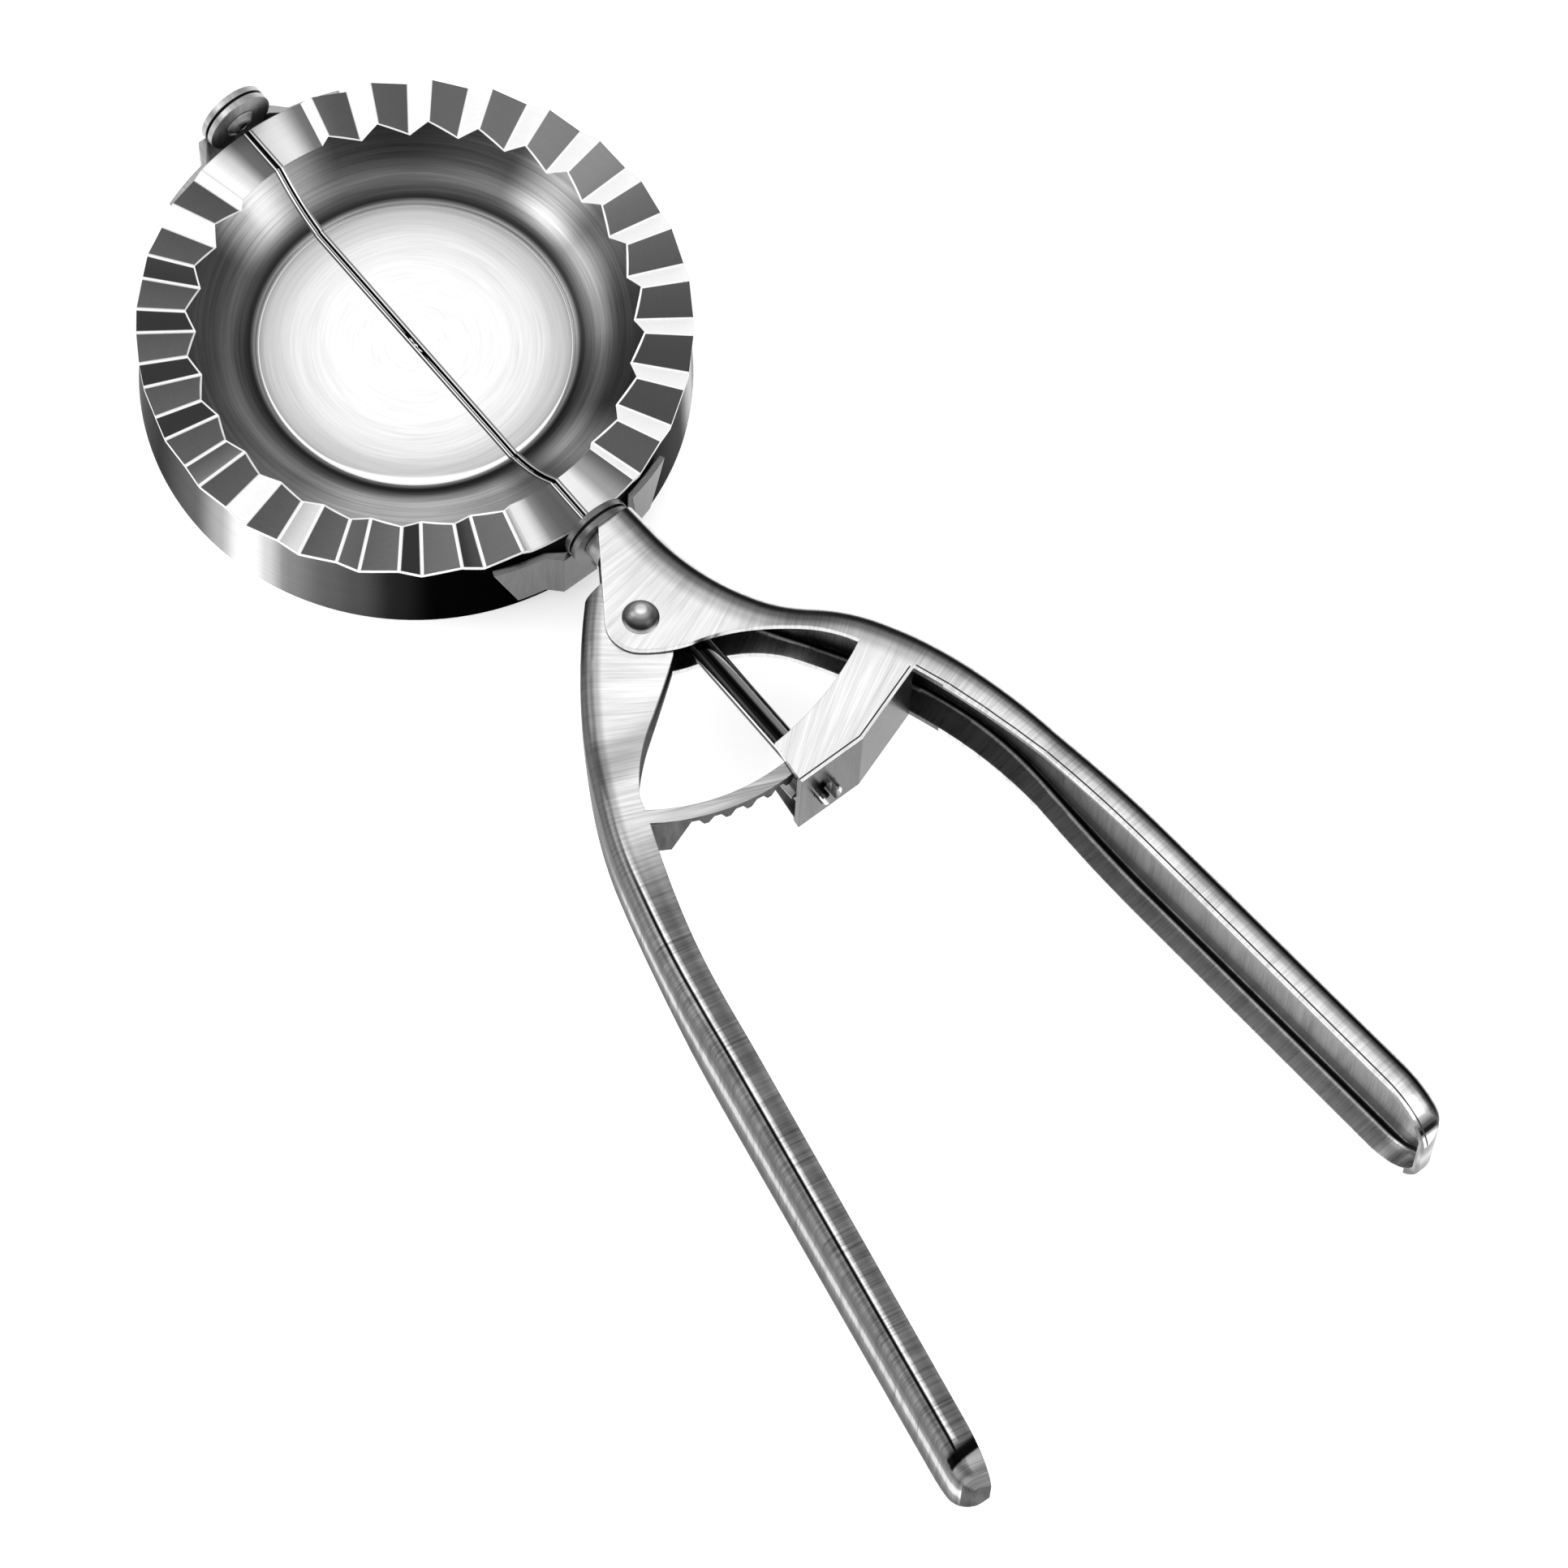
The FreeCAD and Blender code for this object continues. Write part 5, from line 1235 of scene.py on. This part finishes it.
    def _paint(self, piece: bpy.types.Object) -> None:
        """Sort the faces into wall, floor, facets and risers.

        Args:
            piece: the pressed disc.
        """
        rim_line, side = RIM.level - self.bowl_top_drop / 2, self.half.value
        for polygon in piece.data.polygons:
            centre = polygon.center
            radius = math.hypot(centre.x, centre.y) / MM
            on_floor = radius < self.floor_radius - self.floor_margin
            polygon.material_index = Surface.FLOOR if on_floor else Surface.WALL
            if radius < RIM.inner + self.facet_margin or centre.z / MM < rim_line:
                continue
            turn = math.degrees(math.atan2(centre.y * side, centre.x * side)) % FULL_TURN
            phase = ((turn - QUARTER_TURN) / RIM.pitch) % 1.0
            pleated = abs(turn - QUARTER_TURN) < RIM.pitch * RIM.pleats / 2
            wide = abs(phase - 0.5) < RIM.ramp / RIM.pitch / 2
            polygon.material_index = Surface.FACET if wide or not pleated else Surface.RISER


@dataclass
class Mould:
    """The round mould with its skirts, ears and the rivet at its far end."""

    def build(self) -> None:
        """Model both dishes and dress what carries them."""
        MouldDish(Half.FIXED, "frame", "fixed_mould_dish").build()
        MouldDish(Half.MOVING, "fold", "moving_mould_dish").build()
        dress(Finish.SKIRT, "fixed_cutter_skirt", "moving_cutter_skirt")
        dress(Finish.STRAP, "fixed_neck_ear", "moving_neck_ear")
        dress(Finish.EAR, "fixed_nose_ear", "moving_nose_ear")
        dress(Finish.SMALL, "nose_rivet", "neck_washer", "nose_washer", "neck_bush")


@dataclass
class Handles:
    """The two pressed handles with the rivet, sleeve, washers and spring between them."""

    pivot: Place = PIVOT
    level: float = SHAFT_LEVEL
    coil_rise: float = 3.456
    wire_radius: float = 0.3
    weld_gap: float = 1e-6
    smooth_angle: float = 40.0

    def build(self) -> None:
        """Dress the handles and the pivot's pieces."""
        dress(Finish.FIXED, "fixed_handle")
        dress(Finish.LEVER, "lever_handle")
        dress(Finish.RIVET, "pivot_rivet")
        self._wind_spring()
        dress(Finish.SMALL, "near_pivot_washer", "far_pivot_washer", "spring_sleeve")

    def _wind_spring(self) -> None:
        """Copy the spring's coil into a welded, smoothly shaded piece of its own without the node's marks,
        and hide the CAD node.
        """
        dress(Finish.WIRE, "return_spring")
        node = frame["nodes"]["return_spring"]
        bpy.ops.object.select_all(action="DESELECT")
        node.select_set(True)
        bpy.context.view_layer.objects.active = node
        bpy.ops.object.duplicate()
        spring = start_object("winding_spring")
        bpy.ops.object.parent_clear(type="CLEAR_KEEP_TRANSFORM")
        for mark in list(spring.keys()):
            del spring[mark]
        bpy.ops.object.mode_set(mode="EDIT")
        bpy.ops.mesh.select_all(action="SELECT")
        bpy.ops.mesh.remove_doubles(threshold=self.weld_gap)
        bpy.ops.object.mode_set(mode="OBJECT")
        bpy.ops.object.shade_smooth_by_angle(angle=math.radians(self.smooth_angle))
        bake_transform(spring)
        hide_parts("return_spring")
        log.info("modelled %s: %d faces", spring.name, len(spring.data.polygons))


@dataclass
class Drive:
    """The shaft that turns the moving half, with its pinion."""

    def build(self) -> None:
        """Dress the shaft's pieces."""
        dress(Finish.SHAFT, "drive_shaft")
        dress(Finish.SMALL, "pinion", "shaft_thrust_washer")


@dataclass
class Studio:
    """Pale floor, soft lights and the camera at the photograph's angle.

    The camera's place and sensor are in millimetres, other lengths in metres, and angles in degrees.
    """

    camera_place: tuple[float, float, float] = (462.26, -339.74, 1078.51)
    look_azimuth: float = 137.54
    look_elevation: float = 64.94
    roll: float = 4.03
    focal_pixels: float = 9672.0
    picture_pixels: float = 1932.0
    sensor: float = 36.0
    clip: Span = (0.05, 20.0)
    floor_reach: float = 4.0
    floor_middle: float = 0.08
    floor_drop: float = 0.0002
    floor_tone: float = 0.95
    floor_roughness: float = 0.9
    floor_glow: float = 0.5
    room_light: float = 1.1
    ceiling: Tones = ((0.0, 0.95), (0.3, 0.75), (0.55, 0.7), (0.8, 0.98), (1.0, 1.0))
    lamp_aim: tuple[float, float, float] = (0.05, 0.0, 0.0)
    lamp_distance: float = 1.5
    lamp_side: float = 0.8

    def build(self) -> None:
        """Set the floor, the lights, the world and the camera."""
        self._floor()
        self._world()
        self._camera()
        self._lamp("left_softbox", azimuth=215.0, elevation=38.0, power=5.0)
        self._lamp("right_softbox", azimuth=20.0, elevation=32.0, power=4.0)

    def _floor(self) -> None:
        """Lay the floor that the press rests on."""
        bpy.ops.object.select_all(action="DESELECT")
        place = (self.floor_middle, 0.0, cad_box[0][2] - self.floor_drop)
        bpy.ops.mesh.primitive_plane_add(size=self.floor_reach, location=place)
        floor = start_object("studio_floor")
        bpy.ops.object.transform_apply(location=True, rotation=True, scale=True)
        tree = Tree(bpy.data.materials.new("pale_floor"))
        pale = (self.floor_tone, self.floor_tone, self.floor_tone, 1.0)
        inputs = {
            "Base Color": pale, "Roughness": self.floor_roughness,
            "Emission Color": pale, "Emission Strength": self.floor_glow,
        }
        floor.data.materials.append(tree.finished(inputs))

    def _world(self) -> None:
        """Light the room evenly."""
        tree = Tree(bpy.data.worlds.new("studio"))
        height = tree.parts(tree.node("ShaderNodeTexCoord", {}, {}, "Generated"))[2]
        light = {"Color": height.ramp(self.ceiling), "Strength": self.room_light}
        background = tree.node("ShaderNodeBackground", {}, light)
        tree.node("ShaderNodeOutputWorld", {}, {"Surface": background})
        bpy.context.scene.world = tree.owner
        bpy.context.scene.view_settings.view_transform = "Standard"

    def _lamp(self, name: str, azimuth: float, elevation: float, power: float) -> None:
        """Hang a square soft light that faces the press.

        Args:
            name: what the light is called.
            azimuth: its direction round the press, in degrees from +X.
            elevation: its height above the floor, in degrees.
            power: its strength in watts.
        """
        lamp = bpy.data.lights.new(name, "AREA")
        lamp.shape = "SQUARE"
        lamp.size = self.lamp_side
        lamp.energy = power
        holder = bpy.data.objects.new(name, lamp)
        bpy.context.scene.collection.objects.link(holder)
        spot = direction(azimuth, elevation) * self.lamp_distance
        holder.location = Vector(self.lamp_aim) + spot
        holder.rotation_euler = spot.to_track_quat("Z", "Y").to_euler()

    def _camera(self) -> None:
        """Put the camera where the photograph was taken from."""
        data = bpy.data.cameras.new("photo_camera")
        data.sensor_fit = "AUTO"
        data.sensor_width = self.sensor
        data.lens = self.sensor * self.focal_pixels / self.picture_pixels
        data.clip_start, data.clip_end = self.clip
        holder = bpy.data.objects.new("photo_camera", data)
        bpy.context.scene.collection.objects.link(holder)
        azimuth, roll = math.radians(self.look_azimuth), math.radians(self.roll)
        ahead = direction(self.look_azimuth, -self.look_elevation)
        level = Vector((math.sin(azimuth), -math.cos(azimuth), 0.0))
        upright = level.cross(ahead)
        right = level * math.cos(roll) + upright * math.sin(roll)
        above = upright * math.cos(roll) - level * math.sin(roll)
        turn = Matrix((right, above, -ahead)).transposed().to_4x4()
        holder.matrix_world = Matrix.Translation(Vector(self.camera_place) * MM) @ turn
        bpy.context.scene.camera = holder


def main() -> None:
    """Build the press's sub-assemblies in order, then the studio."""
    for assembly in (Mould(), Drive(), Handles(), Studio()):
        assembly.build()
        log.info("%s done", type(assembly).__name__)


if __name__ == "__main__":
    main()
